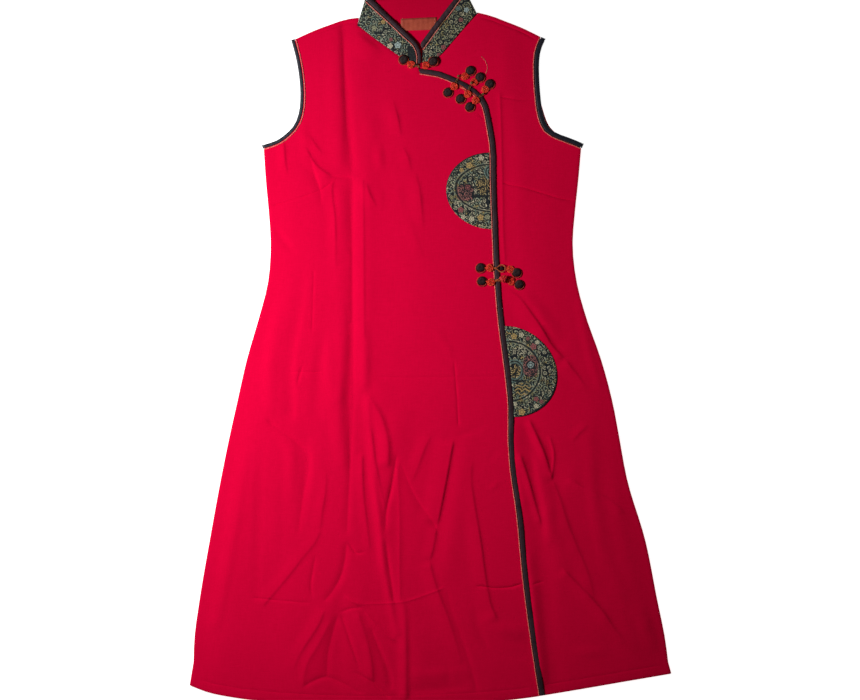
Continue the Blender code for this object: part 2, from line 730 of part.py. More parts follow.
def bead(centre, middle, radius, half_height, steps=8, rows=3):
    """A round or flattened ball."""
    profile = []
    for k in range(1, rows + 1):
        angle = math.pi * (k / (rows + 1) - 0.5)
        profile.append((radius * math.cos(angle), half_height * math.sin(angle)))
    profile.append((0.0, half_height))
    return lathe(profile, centre, middle, steps)


def peg(centre, radius, low, high, steps=6):
    return lathe(((radius, 0.0), (radius, high - low), (0.0, high - low)), centre, low, steps)


def strap(start, end, width, low, high):
    """A straight flat cord between two points."""
    aside = (end - start).normalized()
    aside = Vector((-aside.y, aside.x)) * width / 2
    shape = bmesh.new()
    outline = (start - aside, end - aside, end + aside, start + aside)
    corners = [[shape.verts.new((*point, height)) for point in outline] for height in (low, high)]
    shape.faces.new(corners[0])
    shape.faces.new(corners[1])
    for k in range(4):
        following = (k + 1) % 4
        shape.faces.new((corners[0][k], corners[0][following], corners[1][following], corners[1][k]))
    bmesh.ops.recalc_face_normals(shape, faces=shape.faces)
    return shape


def loop(centre, radius, hole, low, high, steps=10):
    """A flat ring of cord."""
    shape = bmesh.new()
    rings = []
    for reach, height in ((radius, low), (radius, high), (hole, high), (hole, low)):
        rings.append([shape.verts.new((*spot, height)) for spot in around(centre, reach, steps)])
    for one, other in zip(rings, rings[1:] + rings[:1]):
        for k in range(steps):
            following = (k + 1) % steps
            shape.faces.new((one[k], one[following], other[following], other[k]))
    bmesh.ops.recalc_face_normals(shape, faces=shape.faces)
    return shape


def add_fused(name, shapes, finish):
    """One closed body from round shapes that overlap."""
    made = []
    for k, shape in enumerate(shapes):
        mesh = bpy.data.meshes.new(f"{name}_{k}")
        shape.to_mesh(mesh)
        shape.free()
        piece = bpy.data.objects.new(mesh.name, mesh)
        bpy.context.scene.collection.objects.link(piece)
        made.append(piece)
    for other in made[1:]:
        join = made[0].modifiers.new("join", "BOOLEAN")
        join.operation = "UNION"
        join.object = other
    bpy.context.view_layer.update()
    whole = made[0].evaluated_get(bpy.context.evaluated_depsgraph_get())
    mesh = bpy.data.meshes.new_from_object(whole)
    for piece in made:
        bpy.data.objects.remove(piece)
    mesh.name = name
    add_node(name, mesh, finish)


def resting(surface, centre, radius):
    """The height for a round piece that rests on the highest point of a panel beneath it."""
    return max(surface(point) for point in around(centre, radius, 8) + [centre]) + CLOTH + GAP


def scaled(profile):
    return [(radius * MM, height * MM) for radius, height in profile]


def add_frog(name, centres):
    """The loop half and the knot half of one closure. The loop lies round the knot, above its stem."""
    disc_a, coil_a, knot, coil_b, disc_b = metres(centres)
    loop_radius, loop_hole, knot_radius = [size * MM for size in KNOTS.get(name, SMALL_KNOT)]
    disc_radius, coil_radius = DISC_PROFILE[0][0] * MM, COIL_PROFILE[0][0] * MM
    if name == "collar":
        disc_base = coil_base = knot_base = COLLAR_FROG_BASE
    else:
        disc_base = resting(OVER, disc_a, disc_radius)
        coil_base = resting(OVER, coil_a, coil_radius) + PIPING_HEIGHT + GAP
        knot_base = max(resting(UNDER, coil_b, coil_radius), resting(UNDER, disc_b, disc_radius))
    loop_base = max(coil_base, knot_base + STEM_HEIGHT + GAP)
    loop_top = loop_base + LOOP_CORD
    cord_end = knot + (coil_a - knot).normalized() * (loop_radius + loop_hole) / 2
    shapes = [
        lathe(scaled(DISC_PROFILE), disc_a, disc_base, DISC_STEPS),
        lathe(scaled(COIL_PROFILE), coil_a, coil_base, DISC_STEPS),
        strap(disc_a, coil_a, STEM_WIDTH, coil_base + 0.1 * MM, coil_base + 0.9 * MM),
        strap(coil_a, cord_end, STEM_WIDTH, loop_base + 0.1 * MM, loop_top - 0.1 * MM),
        loop(knot, loop_radius, loop_hole, loop_base, loop_top),
    ]
    add_fused(f"frog_{name}_loop", shapes, "coral_cord")
    flatness = 0.6
    if knot_radius < loop_hole:
        middle = (loop_base + loop_top) / 2
        half_height = knot_radius
    else:
        half_height = knot_radius * flatness
        clearance = half_height * math.sqrt(1 - (loop_hole / knot_radius) ** 2)
        middle = loop_top + GAP + clearance
    neck_radius = min(0.6 * loop_hole, 1.2 * MM)
    shapes = [
        lathe(scaled(DISC_PROFILE), disc_b, knot_base, DISC_STEPS),
        lathe(scaled(COIL_PROFILE), coil_b, knot_base, DISC_STEPS),
        strap(disc_b, coil_b, STEM_WIDTH, knot_base + 0.1 * MM, knot_base + 1.1 * MM),
        strap(coil_b, knot, STEM_WIDTH, knot_base + 0.1 * MM, knot_base + STEM_HEIGHT),
        peg(knot, neck_radius, knot_base, middle),
        bead(knot, middle, knot_radius, half_height),
    ]
    add_fused(f"frog_{name}_knot", shapes, "coral_cord")


def clear_scene():
    for old in list(bpy.data.objects):
        bpy.data.objects.remove(old)


def main():
    clear_scene()
    add_panels()
    add_trims()
    add_collar()
    add_medallions()
    add_label()
    for name, centres in FROGS.items():
        add_frog(name, centres)


main()
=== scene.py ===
"""The looks of a cheongsam laid flat: creased cloth, satin bindings, piping, knotted buttons and brocade.

X runs across the garment, Y from the hem to the collar, and Z up from the surface it lies on.
Tables are in millimetres. Everything that is built is in metres.
"""

import math

import bmesh
import bpy
import numpy as np
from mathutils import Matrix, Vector, kdtree
from mathutils.bvhtree import BVHTree
from mathutils.geometry import delaunay_2d_cdt


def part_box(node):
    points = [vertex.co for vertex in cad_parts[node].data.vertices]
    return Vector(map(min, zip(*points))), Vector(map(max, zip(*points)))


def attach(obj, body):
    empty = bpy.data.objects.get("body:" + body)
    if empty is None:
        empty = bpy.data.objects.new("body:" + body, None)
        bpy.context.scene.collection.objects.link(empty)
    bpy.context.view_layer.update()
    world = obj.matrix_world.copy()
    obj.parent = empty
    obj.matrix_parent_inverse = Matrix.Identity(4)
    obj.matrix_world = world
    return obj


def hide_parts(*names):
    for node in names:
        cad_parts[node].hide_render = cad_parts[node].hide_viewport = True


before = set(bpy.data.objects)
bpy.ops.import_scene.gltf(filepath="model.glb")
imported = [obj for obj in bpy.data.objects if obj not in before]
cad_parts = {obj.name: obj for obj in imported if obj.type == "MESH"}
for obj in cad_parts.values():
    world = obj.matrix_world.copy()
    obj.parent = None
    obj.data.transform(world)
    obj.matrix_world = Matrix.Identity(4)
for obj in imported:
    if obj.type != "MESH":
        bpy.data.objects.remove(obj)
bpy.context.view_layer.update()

MM = 0.001

# The photograph's frame: its size on the surface, and the point under its middle
FRAME_WIDTH = 1221.2 * MM
FRAME_CENTRE = (-0.7 * MM, -4.3 * MM)
CAMERA_HEIGHT = 4.0
SENSOR = 36.0

# A pixel of the photo on the cloth, and the pixel above the frame's origin
PIXEL = 1.42 * MM
PHOTO_CENTRE = (430.5, 347.0)

# Cloth
CLOTH = 1.0 * MM
PANEL_STEP = 3.25 * MM
BACK_STEP = 5.0 * MM
FIELD_STEP = 3.0 * MM
SMOOTH_ACROSS = 5.0 * MM
SMOOTH_ALONG = 13.0 * MM
LAYER_GAP = 0.25 * MM
LOWEST = 2.45 * MM
NARROW = 6.5
EDGE_ROLL = 0.3 * MM

# Trims
PIPING_RADIUS = 0.78 * MM
PIPING_LAY = 3.2 * MM
BINDING_RISE = 1.7 * MM
COLLAR_CLOTH = 1.0 * MM
MEDALLION_CLOTH = 1.0 * MM

# Soft folds on the panel that laps over: points from one end to the other, in pixels of the photo, then in
# millimetres the reach to its left and right and the height at its start, middle and end. Left and right are
# as seen, for a fold that runs down.
OVER_SOFT = (
    ("pleat shoulder, chest", ((337, 22), (339, 95), (341, 172)), 24, 11, 0.9, 1.5, 1.4),
    ("pleat shoulder, waist", ((340, 180), (343, 230), (346, 264)), 16, 15, 0.9, 1, 0.3),
    ("pleat shoulder, belly", ((346, 258), (345.5, 300), (344, 335)), 15, 6, 0.3, 0.5, 1.2),
    ("pleat shoulder, hip", (
        (344, 325), (342, 360), (339, 400), (340, 440), (345, 472)
    ), 18, 13, 1.4, 2.6, 0.8),
    ("band shoulder", ((364, 318), (365, 360), (364, 396)), 13, 11, 0.4, 1.5, 1.2),
    ("chest hollow", ((368, 108), (375, 150)), 18, 18, 0.4, 0.9, 0.3),
    ("chest blob", ((379, 138), (380, 158), (382, 176)), 13, 9, 0.4, 1.2, 0.4),
    ("chest faint, left", ((381, 184), (380, 216)), 12, 8, 0.2, 0.5, 0.2),
    ("chest faint, right", ((396, 184), (402, 209)), 12, 8, 0.2, 0.5, 0.2),
    ("chest faint, low", ((406, 214), (423, 263)), 14, 8, 0.2, 0.5, 0.2),
    ("belly slant", ((431, 327), (446, 343), (455, 361)), 14, 6, 0.2, 0.5, 0.3),
    ("side slant", ((272, 224), (283, 239), (296, 256)), 9, 8, -0.4, -0.9, -0.4),
    ("hip valley", (
        (304, 262), (301, 300), (297, 325), (292, 350), (290, 376), (291, 395), (292, 424)
    ), 18, 10, -0.3, -1.2, -1.5),
    ("hip crest", ((281, 305), (275, 335), (270, 372), (271, 420)), 16, 15, 0.3, 1.4, 0.7),
    ("hip hollow", ((325, 325), (320, 360), (317, 392), (316, 424)), 13, 12, -0.4, -1, -0.4),
    ("hip ridge", ((331, 335), (330, 388), (329, 428)), 12, 11, 0.4, 1.3, 0.4),
    ("bend crest, right", ((312, 434), (315, 468), (309, 522)), 9, 18, 0.4, 0.7, 0.3),
    ("bend crest, left", ((260, 412), (284, 438), (292, 460), (290, 505)), 14, 13, 0.3, 1.1, 0.4),
    ("left ridge", ((248, 445), (239, 500), (229, 560), (214, 635)), 20, 12, 0.4, 1.1, 0.9),
    ("left hollow", ((262, 440), (259, 520), (256, 605)), 12, 12, -0.3, -0.8, -0.3),
    ("left inner ridge", ((275, 470), (275, 568)), 13, 12, 0.2, 0.6, 0.2),
    ("middle top", ((454, 439), (461, 435), (474, 430), (489, 424)), 7, 7, -0.8, -0.7, -0.3),
    ("sleeve slant", ((486, 463), (501, 446)), 7, 7, -0.3, -0.6, -0.2),
    ("lap mark", ((483, 490), (493, 487), (502, 477)), 6, 6, 0.3, 0.7, 0.3),
    ("placket bulge", ((484, 608), (497, 624), (516, 632), (530, 632)), 18, 16, 0.8, 2.4, 1.1),
    ("placket hollow", (
        (473, 606), (477, 623), (482, 637), (491, 647), (504, 653), (518, 655), (533, 652)
    ), 10, 10, -0.5, -0.8, -0.4),
    ("hem dip", ((446, 662), (452, 688)), 9, 8, -0.3, -0.6, -0.4),
    ("hem band", ((404, 689), (430, 690), (472, 685)), 13, 9, -0.8, -1, -0.3),
    ("hem lip", ((404, 674), (430, 675), (474, 670)), 13, 12, 0.5, 0.7, 0.2),
    ("collar shade", ((353, 32), (361, 39), (370, 46), (384, 57)), 30, 9.5, 2, 2.5, 0.6),
    ("arm ridge", ((304, 120), (305, 140), (306, 158)), 13, 9, 0.3, 0.9, 0.4),
)
# Folds with a sharp top or bottom, with the same columns
OVER_SHARP = (
    ("pleat, chest", (
        (343, 22), (344, 60), (346, 95), (348, 125), (350.5, 150), (352, 174)
    ), 8, 12, -1.2, -1.7, -1.7),
    ("pleat, waist", ((352, 176), (352, 215), (352, 256)), 10, 8, -1.5, -1.5, -1),
    ("pleat tail", ((346, 541), (345.5, 556), (341, 576), (332, 592), (322, 603)), 9, 9, -1.2, -1.7, -0.8),
    ("pleat nick", ((346, 539), (351, 546), (357, 553), (367, 551)), 4, 4, -0.8, -1.6, -0.3),
    ("band edge", ((363, 177), (363.7, 240), (364, 296), (364.5, 340)), 15, 3.5, 0.7, 0.9, 0.6),
    ("pinch", (
        (362, 452), (362.3, 465), (362.8, 487), (365, 510), (368, 535), (370, 552)
    ), 12, 5, 1.5, 1.5, 0.7),
    ("band ridge", (
        (367, 398), (370, 432), (373, 470), (378, 510), (382, 550), (386, 578), (391, 604), (398, 640)
    ), 9, 8, 0.8, 1.9, 1.2),
    ("thigh fold", (
        (366, 392), (371, 401), (378, 412), (384, 427), (387.5, 446), (387, 469)
    ), 18, 7.5, 0.8, 2.6, 2.4),
    ("thigh fold, inner", ((371, 428), (374.5, 455), (379, 480), (384.5, 507)), 7, 3.5, 0.4, 0.9, 0.6),
    ("thigh cross", (
        (397, 453), (394.5, 470), (391, 490), (386.5, 512), (386, 532)
    ), 6, 6, -0.8, -2.1, -0.8),
    ("ridge", ((397, 462), (399.5, 515), (399.5, 560), (400, 604)), 6, 6, 0.5, 0.7, 0.8),
    ("ridge, hem", ((400, 596), (404, 610), (405, 640), (405.5, 702)), 14, 7.5, 0.8, 2.2, 2.1),
    ("ridge hollow", ((386, 540), (390, 572), (394.5, 603)), 10, 5, -0.5, -1.1, -1.6),
    ("middle bend", (
        (401, 461), (405, 474), (412, 490), (420, 504), (433, 522), (438, 533)
    ), 9, 4, -0.3, -0.8, -1.2),
    ("middle fold", (
        (453.5, 439), (450.5, 455), (446, 480), (441.5, 503), (437, 526)
    ), 30, 4, 2.1, 2.4, 1.7),
    ("middle fold, knee", ((437, 524), (433.5, 545), (429, 562)), 18, 5, 1.5, 1.2, 1.3),
    ("middle fold, shin", (
        (429, 560), (434, 580), (441, 600), (447, 615), (455, 640), (462, 666)
    ), 20, 5, 1.6, 1.2, 0.4),
    ("middle left line", ((432, 434), (425, 447), (418, 466), (411, 483)), 18, 6, 0.7, 1.1, 0.4),
    ("placket fold", (
        (472, 460), (471, 480), (473, 496), (476, 515), (481, 545), (484.5, 572), (488, 592),
        (491, 606), (498, 621)
    ), 24, 3.5, 0.5, 1.5, 1.1),
    ("shin line", (
        (447, 588), (450, 605), (456, 622), (464, 645), (470, 664), (478, 694)
    ), 8, 7, -0.3, -0.6, -0.7),
    ("fan, first", ((325, 608), (318, 625), (305, 645), (297, 659), (293, 673)), 18, 5, 1, 1.1, 0.4),
    ("fan, second", ((331, 620), (318, 645), (307, 664), (303, 687)), 9, 6, 0.6, 0.7, 0.6),
    ("fan, third", ((338.5, 613), (333, 632), (328, 655), (327, 679)), 9, 9, -0.8, -1.1, -1),
    ("fan, fourth", ((341, 613), (349, 637), (355, 655), (361, 672)), 5, 6, -0.9, -1.5, -0.7),
    ("fan, fifth", ((357, 611), (365, 634), (371, 660), (373, 683)), 14, 6.4, 0.9, 1.4, 1.3),
    ("fan, ridge", ((364, 610), (375, 624), (388, 636), (400, 642)), 5, 6, 0.9, 1.6, 0.9),
    ("fan, last", ((370, 626), (380, 650), (388, 669), (392, 690)), 9, 6, -0.9, -1.8, -1.8),
    ("hem fold", (
        (302, 688), (313, 681), (327, 677), (345, 684), (355, 690), (365, 693)
    ), 7, 6, -0.8, -1.2, -0.5),
    ("hem fold, right", (
        (353, 670), (364, 677), (373, 682), (381, 690), (391, 699)
    ), 5, 5, -0.8, -1.5, -1.8),
    ("shelf", ((344, 594), (354, 602), (365, 605)), 4.5, 4.5, 0.8, 1.5, 0.7),
    ("shelf shade", ((339, 613), (350, 608.5), (365, 607.5)), 4.5, 4.5, -0.6, -1.1, -0.4),
    ("left slant", (
        (321, 528), (315, 542), (302, 558), (292, 571), (278, 588), (261, 608)
    ), 18, 4, 0.6, 0.9, 0.8),
    ("left slant, top", ((326, 468), (325.5, 490), (322, 512), (320, 531)), 15, 4.5, 0.4, 1.1, 0.7),
    ("left glint", ((316, 554), (312.5, 573), (311, 586), (313, 599)), 5, 4.5, -0.5, -1.1, -0.6),
    ("hip bend", (
        (266, 418), (277, 428), (290, 437), (300, 444.5), (306, 451), (307.3, 464), (305, 485),
        (302, 505), (298, 536)
    ), 10, 8, -1.4, -1.7, -0.4),
    ("hip mark", ((304, 363), (300, 374), (297, 387)), 3.5, 3.5, -0.4, -1, -0.4),
    ("bust drape", (
        (304, 147), (308, 152), (313.7, 162.5), (322.5, 171), (332.5, 177)
    ), 16, 3.5, 0.7, 1.6, 1.6),
    ("bust hollow", ((309, 152), (314, 172), (320, 190), (321.5, 207)), 13, 5, -0.4, -1.7, -0.4),
    ("bust tuck", ((308, 134), (316, 146), (324, 156)), 14, 4, 0.6, 1.1, 0.4),
    ("underarm tuck", ((284, 140), (284.5, 152), (285.5, 165), (288, 176)), 14, 3.5, 1.2, 1.4, 0.5),
    ("waist dart", (
        (335, 179), (332, 187), (332.5, 200), (334.5, 215), (335.5, 240), (335.8, 270)
    ), 15, 3.5, 1.1, 1.3, 0.3),
    ("chest slant", ((365, 180), (370, 195), (377.5, 209)), 18, 4.5, 0.4, 1.3, 0.6),
    ("chest wave", ((392, 97), (395, 108), (398, 120), (401, 139)), 20, 4.5, 0.3, 1.4, 0.4),
    ("chest wave, middle", ((401, 145), (408, 158), (411, 174)), 16, 5, 0.3, 1, 0.4),
    ("chest wave, low", ((414, 171), (419, 188), (421, 205), (423, 230)), 20, 5, 0.4, 1.2, 0.3),
    ("pleat, belly", ((352, 246), (352.2, 290), (352.3, 330)), 5, 8, -1.2, -1.3, -1.5),
    ("pleat, hip", (
        (352.3, 320), (352, 375), (351, 420), (350, 470), (348.5, 500), (347, 536)
    ), 10, 8, -1.7, -1.7, -0.9),
    ("bust drape, end", ((329, 175.5), (334, 177), (352, 177.5)), 3, 3, -1.2, -1.7, -1.5),
)
# The same two for the panel that lies under the opening
UNDER_SOFT = (
    ("placket shade, low", ((527, 545), (532, 590), (537, 640), (542, 690)), 4, 15, 0.8, 2, 1.8),
    ("waist diagonal, right", ((516, 288), (530, 302), (546, 322), (563, 343)), 10, 16, 0.4, 1.5, 0.4),
    ("binding lift, thigh", ((513, 415), (515, 440), (519, 475), (526, 512)), 10, 24, 2, 2.6, 1),
    ("binding lift, shin", ((519, 480), (526, 550), (533, 620), (541, 692)), 10, 28, 1, 1.8, 1.4),
    ("right hollow", (
        (597, 412), (602, 450), (604, 485), (608, 510), (613, 540), (622, 575), (636, 613)
    ), 14, 18, -0.3, -0.8, -0.4),
    ("right crest", ((587, 425), (591, 480), (598, 535), (609, 580)), 14, 12, 0.3, 0.8, 0.3),
    ("hem corner", ((636, 600), (648, 632), (655, 655)), 18, 14, 0.3, 1.3, 0.6),
    ("hem shade", ((568, 650), (590, 652), (612, 650)), 12, 12, 0.3, 0.8, 0.3),
    ("hip side", ((578, 296), (589, 350), (603, 396)), 12, 8, 0.4, 0.8, 0.4),
    ("bust side", ((515, 240), (520, 170), (514, 110)), 20, 22, 0.2, 0.5, 0.2),
    ("thigh glow", ((535, 448), (541, 478), (547, 512), (551, 548)), 11, 18, 1.2, 2.2, 1),
)
UNDER_SHARP = (
    ("placket ledge", ((499.5, 90), (501, 130), (502.5, 200), (503, 232), (505, 264)), 6, 4, 0.8, 0.9, 0.7),
    ("waist diagonal", (
        (506, 290), (518, 297), (530, 312), (543, 331), (552, 346), (564, 359)
    ), 24, 4, 0.5, 2.3, 1.8),
    ("waist diagonal, end", ((564, 359), (576, 374), (588, 390)), 18, 4, 0.9, 1, 0.3),
    ("thigh dark", ((528, 418), (536, 435), (545, 456), (552, 481)), 12, 5, 2.2, 2.5, 1.8),
    ("thigh branch", ((548.5, 434), (553.5, 452), (553, 466), (551, 481)), 5, 4, 0.7, 1.4, 0.9),
    ("thigh line", ((519, 452), (524, 466), (529, 482), (535, 504), (541.5, 526)), 10, 4, 1.3, 2, 1.2),
    ("thigh long", (
        (552, 479), (560, 500), (568, 525), (578, 550), (588, 575), (594, 600)
    ), 20, 5, 1, 1, 0.4),
    ("shin diagonal", (
        (562, 568), (575, 582), (590, 597), (603, 612), (613, 627), (627, 645)
    ), 18, 4.5, 1.4, 1.8, 0.3),
    ("side bend", (
        (565, 478), (573, 480.5), (580, 486), (592, 491.5), (605, 497), (617, 506), (626, 514)
    ), 14, 3.5, 0.8, 1, 0.5),
    ("hip slant", ((590, 424), (580, 432), (570, 444)), 12, 4.5, 0.4, 0.8, 0.3),
)
# Thin lines in a panel, from pressed creases, darts and seams: points in pixels, half width, height
OVER_LINES = (
    ("left dart seam", ((271, 206), (290, 201), (320, 190.5), (333, 181)), 1.2, -0.55),
    ("left shoulder seam", ((296.5, 44), (314.5, 35), (330.5, 29), (346, 24), (357.5, 22.5)), 1.2, -0.5),
    ("hip crease, left", ((289, 372), (324, 372)), 1.4, -0.4),
    ("hip crease, middle", ((376, 377), (420, 377.5), (455, 377), (502, 376.5)), 1.4, -0.28),
    ("hip crease, down", ((454, 360), (455.5, 378), (457, 398), (458.5, 428)), 1.3, -0.45),
    ("knee crease, left", ((250, 597.5), (282, 600.5), (312, 603)), 1.5, -0.35),
    ("knee crease, middle", ((362, 604), (388, 603), (410, 600), (446, 587)), 1.7, 0.42),
    ("knee crease, right", ((474, 586), (484, 586.5), (494, 588), (510, 587), (524, 583)), 1.4, -0.95),
    ("side line", ((314, 268), (312, 334)), 1.4, -0.3),
    ("frog tuck", ((477, 113), (486, 121)), 1.3, -0.5),
)
UNDER_LINES = (
    ("right dart seam", (
        (501, 181.5), (507, 184), (525, 188), (545, 194), (560, 198.5), (576, 200.5)
    ), 1.2, -0.75),
    ("right shoulder seam", ((537.5, 41), (522, 32.5), (506, 26), (489.5, 20), (478.5, 17.5)), 1.2, -0.5),
    ("bust crease", ((498, 97), (507, 98), (520, 100), (534, 98.5)), 1.3, -0.5),
    ("diagonal mark", ((562, 357), (574, 357)), 1.3, -0.4),
    ("knee crease", ((530, 585), (546, 580.5)), 1.4, -0.5),
    ("shin crease", ((532, 590), (547, 599)), 1.3, 0.4),
)
BACK_LINES = (
    ("left waist dart", ((-112, 238), (-110, 150), (-114, 62)), 1.6, 0.5),
    ("right waist dart", ((88, 238), (86, 150), (90, 62)), 1.6, 0.5),
    ("hip crease", ((-200, -36), (0, -40), (210, -44)), 2.0, 0.35),
    ("knee crease", ((-300, -356), (0, -352), (300, -348)), 2.0, 0.4),
    ("chest crease", ((-160, 352), (0, 350), (140, 352)), 2.0, 0.3),
)
BACK_FOLDS = (
    ("left wave", ((-250, -80), (-290, -420)), 30, 34, 0.5, 0.9, 0.7),
    ("right wave", ((236, -60), (288, -400)), 34, 30, 0.4, 0.8, 0.7),
    ("middle hollow", ((-30, -120), (-60, -280), (-40, -470)), 40, 36, 0.4, 1.0, 0.9),
    ("placket hollow", ((100, -120), (130, -300), (150, -450)), 34, 30, 0.3, 0.8, 0.8),
    ("waist hollow", ((-20, 250), (-16, 120), (-10, 20)), 40, 40, 0.3, 0.8, 0.3),
    ("shoulder hollow", ((-90, 400), (-96, 280)), 34, 30, 0.2, 0.7, 0.3),
)
HEM_STITCHES = 14.5
HEM_LINE_HEIGHT = -0.2

# Frogs: outer button, coil, knot, coil and outer button, from left to right
FROGS = {
    "collar": ((-38.0, 407.8), (-27.8, 399.9), (-16.6, 397.3), (-7.0, 399.8), (4.0, 405.4)),
    "bust_upper": ((25.1, 361.5), (34.2, 369.6), (39.6, 384.2), (48.3, 383.6), (56.9, 392.4)),
    "bust_middle": ((42.9, 352.4), (52.6, 359.1), (58.0, 374.6), (62.6, 375.8), (70.6, 383.2)),
    "bust_lower": ((56.2, 341.1), (63.6, 349.4), (74.2, 358.4), (77.6, 366.0), (84.3, 373.5)),
    "waist_upper": ((71.3, 112.7), (84.5, 111.8), (100.9, 111.4), (112.7, 110), (122.6, 105.8)),
    "waist_lower": ((73.2, 93.8), (85.9, 92.3), (103.3, 96.6), (114.7, 92.4), (126.2, 89.1)),
}
# Thin cords from one loop half's coil to the next, along the opening
LINKS = {
    "bust_upper": (((39.6, 372.4), (52.2, 364.0)), ((38.4, 370.2), (50.8, 361.6))),
    "bust_middle": (((56.6, 362.8), (67.4, 353.6)), ((55.4, 360.6), (66.0, 351.4))),
}
LOOSE_THREAD = ((71.7, 412.6), (77.4, 406.1), (80.7, 396.2), (78.0, 386.8))
# A plain dark leaf in the collar's brocade: its middle, half width and half height
LEAF = (-26.0, 413.5, 5.6, 14.5)
BUTTON_RADIUS = 6.4 * MM
BUTTON_HEIGHT = 3.1 * MM
RING_RADIUS = 6.8 * MM
COIL_RADIUS = 6.1 * MM
CORD_RADIUS = 0.7 * MM


def metres(table):
    return np.array(table, float) * MM


def placed(rows):
    """Rows of a table with their points turned from pixels of the photo into millimetres."""
    scale = PIXEL / MM
    across, down = PHOTO_CENTRE
    return tuple(
        (name, tuple(((x - across) * scale, (down - y) * scale) for x, y in points), *rest)
        for name, points, *rest in rows
    )


# Lines, as rows of points
def arc_lengths(line):
    return np.concatenate([[0.0], np.cumsum(np.linalg.norm(np.diff(line, axis=0), axis=1))])


def resampled(line, count):
    """Points at equal steps along a line."""
    steps = arc_lengths(line)
    wanted = np.linspace(0.0, steps[-1], count)
    return np.stack([np.interp(wanted, steps, column) for column in line.T], axis=1)


def spaced(line, step):
    return resampled(line, max(2, int(round(arc_lengths(line)[-1] / step)) + 1))


def curved(table, step):
    """A smooth line through the points of a table in millimetres."""
    points = metres(table)
    if len(points) < 3:
        return spaced(points, step)
    padded = np.vstack([2 * points[0] - points[1], points, 2 * points[-1] - points[-2]])
    t = np.linspace(0.0, 1.0, 13)[:-1, None]
    pieces = []
    for a, b, c, d in zip(padded, padded[1:], padded[2:], padded[3:]):
        pieces.append(
            0.5 * (2 * b + (c - a) * t + (2 * a - 5 * b + 4 * c - d) * t**2 + (3 * b - a - 3 * c + d) * t**3)
        )
    return spaced(np.vstack([*pieces, points[-1:]]), step)


def directions(line, closed=False):
    """Unit vectors along a line at each of its points."""
    if closed:
        along = np.roll(line, -1, axis=0) - np.roll(line, 1, axis=0)
    else:
        along = np.gradient(line, axis=0)
    return along / np.maximum(np.linalg.norm(along, axis=1, keepdims=True), 1e-12)


def moved_aside(line, distance):
    """A flat line moved to the left of its own direction."""
    along = directions(line)
    return line + np.stack([-along[:, 1], along[:, 0]], axis=1) * np.reshape(distance, (-1, 1))


def eased(value):
    value = np.clip(value, 0.0, 1.0)
    return value * value * (3 - 2 * value)


def waves(along, lengths, seed):
    """An uneven ripple from -1 to 1 along a line, from a few wavelengths that don't fit each other."""
    total = np.zeros_like(along)
    for k, length in enumerate(lengths):
        total += np.sin(2 * math.pi * along / length + seed * (k + 1.7))
    return total / len(lengths)


# Reading the frame
def outlines(node, facing, level=0.7):
    """Closed outlines of the faces of a CAD node that look up (1) or down (-1), longest first."""
    shape = bmesh.new()
    shape.from_mesh(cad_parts[node].data)
    bmesh.ops.remove_doubles(shape, verts=shape.verts, dist=1e-6)
    shape.normal_update()
    shape.verts.index_update()
    chosen = {face for face in shape.faces if face.normal.z * facing > level}
    following = {}
    for face in chosen:
        for loop in face.loops:
            if not any(other in chosen for other in loop.edge.link_faces if other is not face):
                following[loop.vert.index] = loop.link_loop_next.vert.index
    places = {vert.index: tuple(vert.co) for vert in shape.verts}
    shape.free()
    found = []
    while following:
        start, here = following.popitem()
        line = [places[start]]
        while here != start and here in following:
            line.append(places[here])
            here = following.pop(here)
        found.append(np.array(line))
    return sorted(found, key=lambda line: -arc_lengths(line)[-1])


def long_sides(outline, step):
    """The two long sides of a strip's outline, both from its upper end, as pairs at equal steps."""
    flat = outline[:, :2]
    before = flat - np.roll(flat, 1, axis=0)
    after = np.roll(flat, -1, axis=0) - flat
    bend = np.abs(np.arctan2(before[:, 0] * after[:, 1] - before[:, 1] * after[:, 0], (before * after).sum(1)))
    corners = sorted(np.argsort(-bend)[:4])
    turned = np.roll(outline, -corners[0], axis=0)
    marks = [corner - corners[0] for corner in corners] + [len(outline)]
    closed = np.vstack([turned, turned[:1]])
    runs = [closed[a:b + 1] for a, b in zip(marks, marks[1:])]
    pair = max((runs[0], runs[2]), (runs[1], runs[3]), key=lambda two: sum(arc_lengths(x)[-1] for x in two))
    count = int(arc_lengths(pair[0])[-1] / step) + 1
    made = [resampled(side if side[0, 1] > side[-1, 1] else side[::-1], count) for side in pair]
    return sorted(made, key=lambda side: side[:, 0].mean())


# Heights of the cloth, on a fine grid over the whole garment
LOW = np.array([-360.0, -530.0]) * MM
GRID_SHAPE = (241, 354)


def grid_points():
    x = LOW[0] + np.arange(GRID_SHAPE[0]) * FIELD_STEP
    y = LOW[1] + np.arange(GRID_SHAPE[1]) * FIELD_STEP
    return np.stack(np.meshgrid(x, y, indexing="ij"), axis=-1)


GRID = grid_points()


def blurred(values, reach, axis):
    steps = max(1, int(3 * reach / FIELD_STEP))
    weights = np.exp(-0.5 * (np.arange(-steps, steps + 1) * FIELD_STEP / reach) ** 2)
    return np.apply_along_axis(lambda row: np.convolve(row, weights / weights.sum(), mode="same"), axis, values)


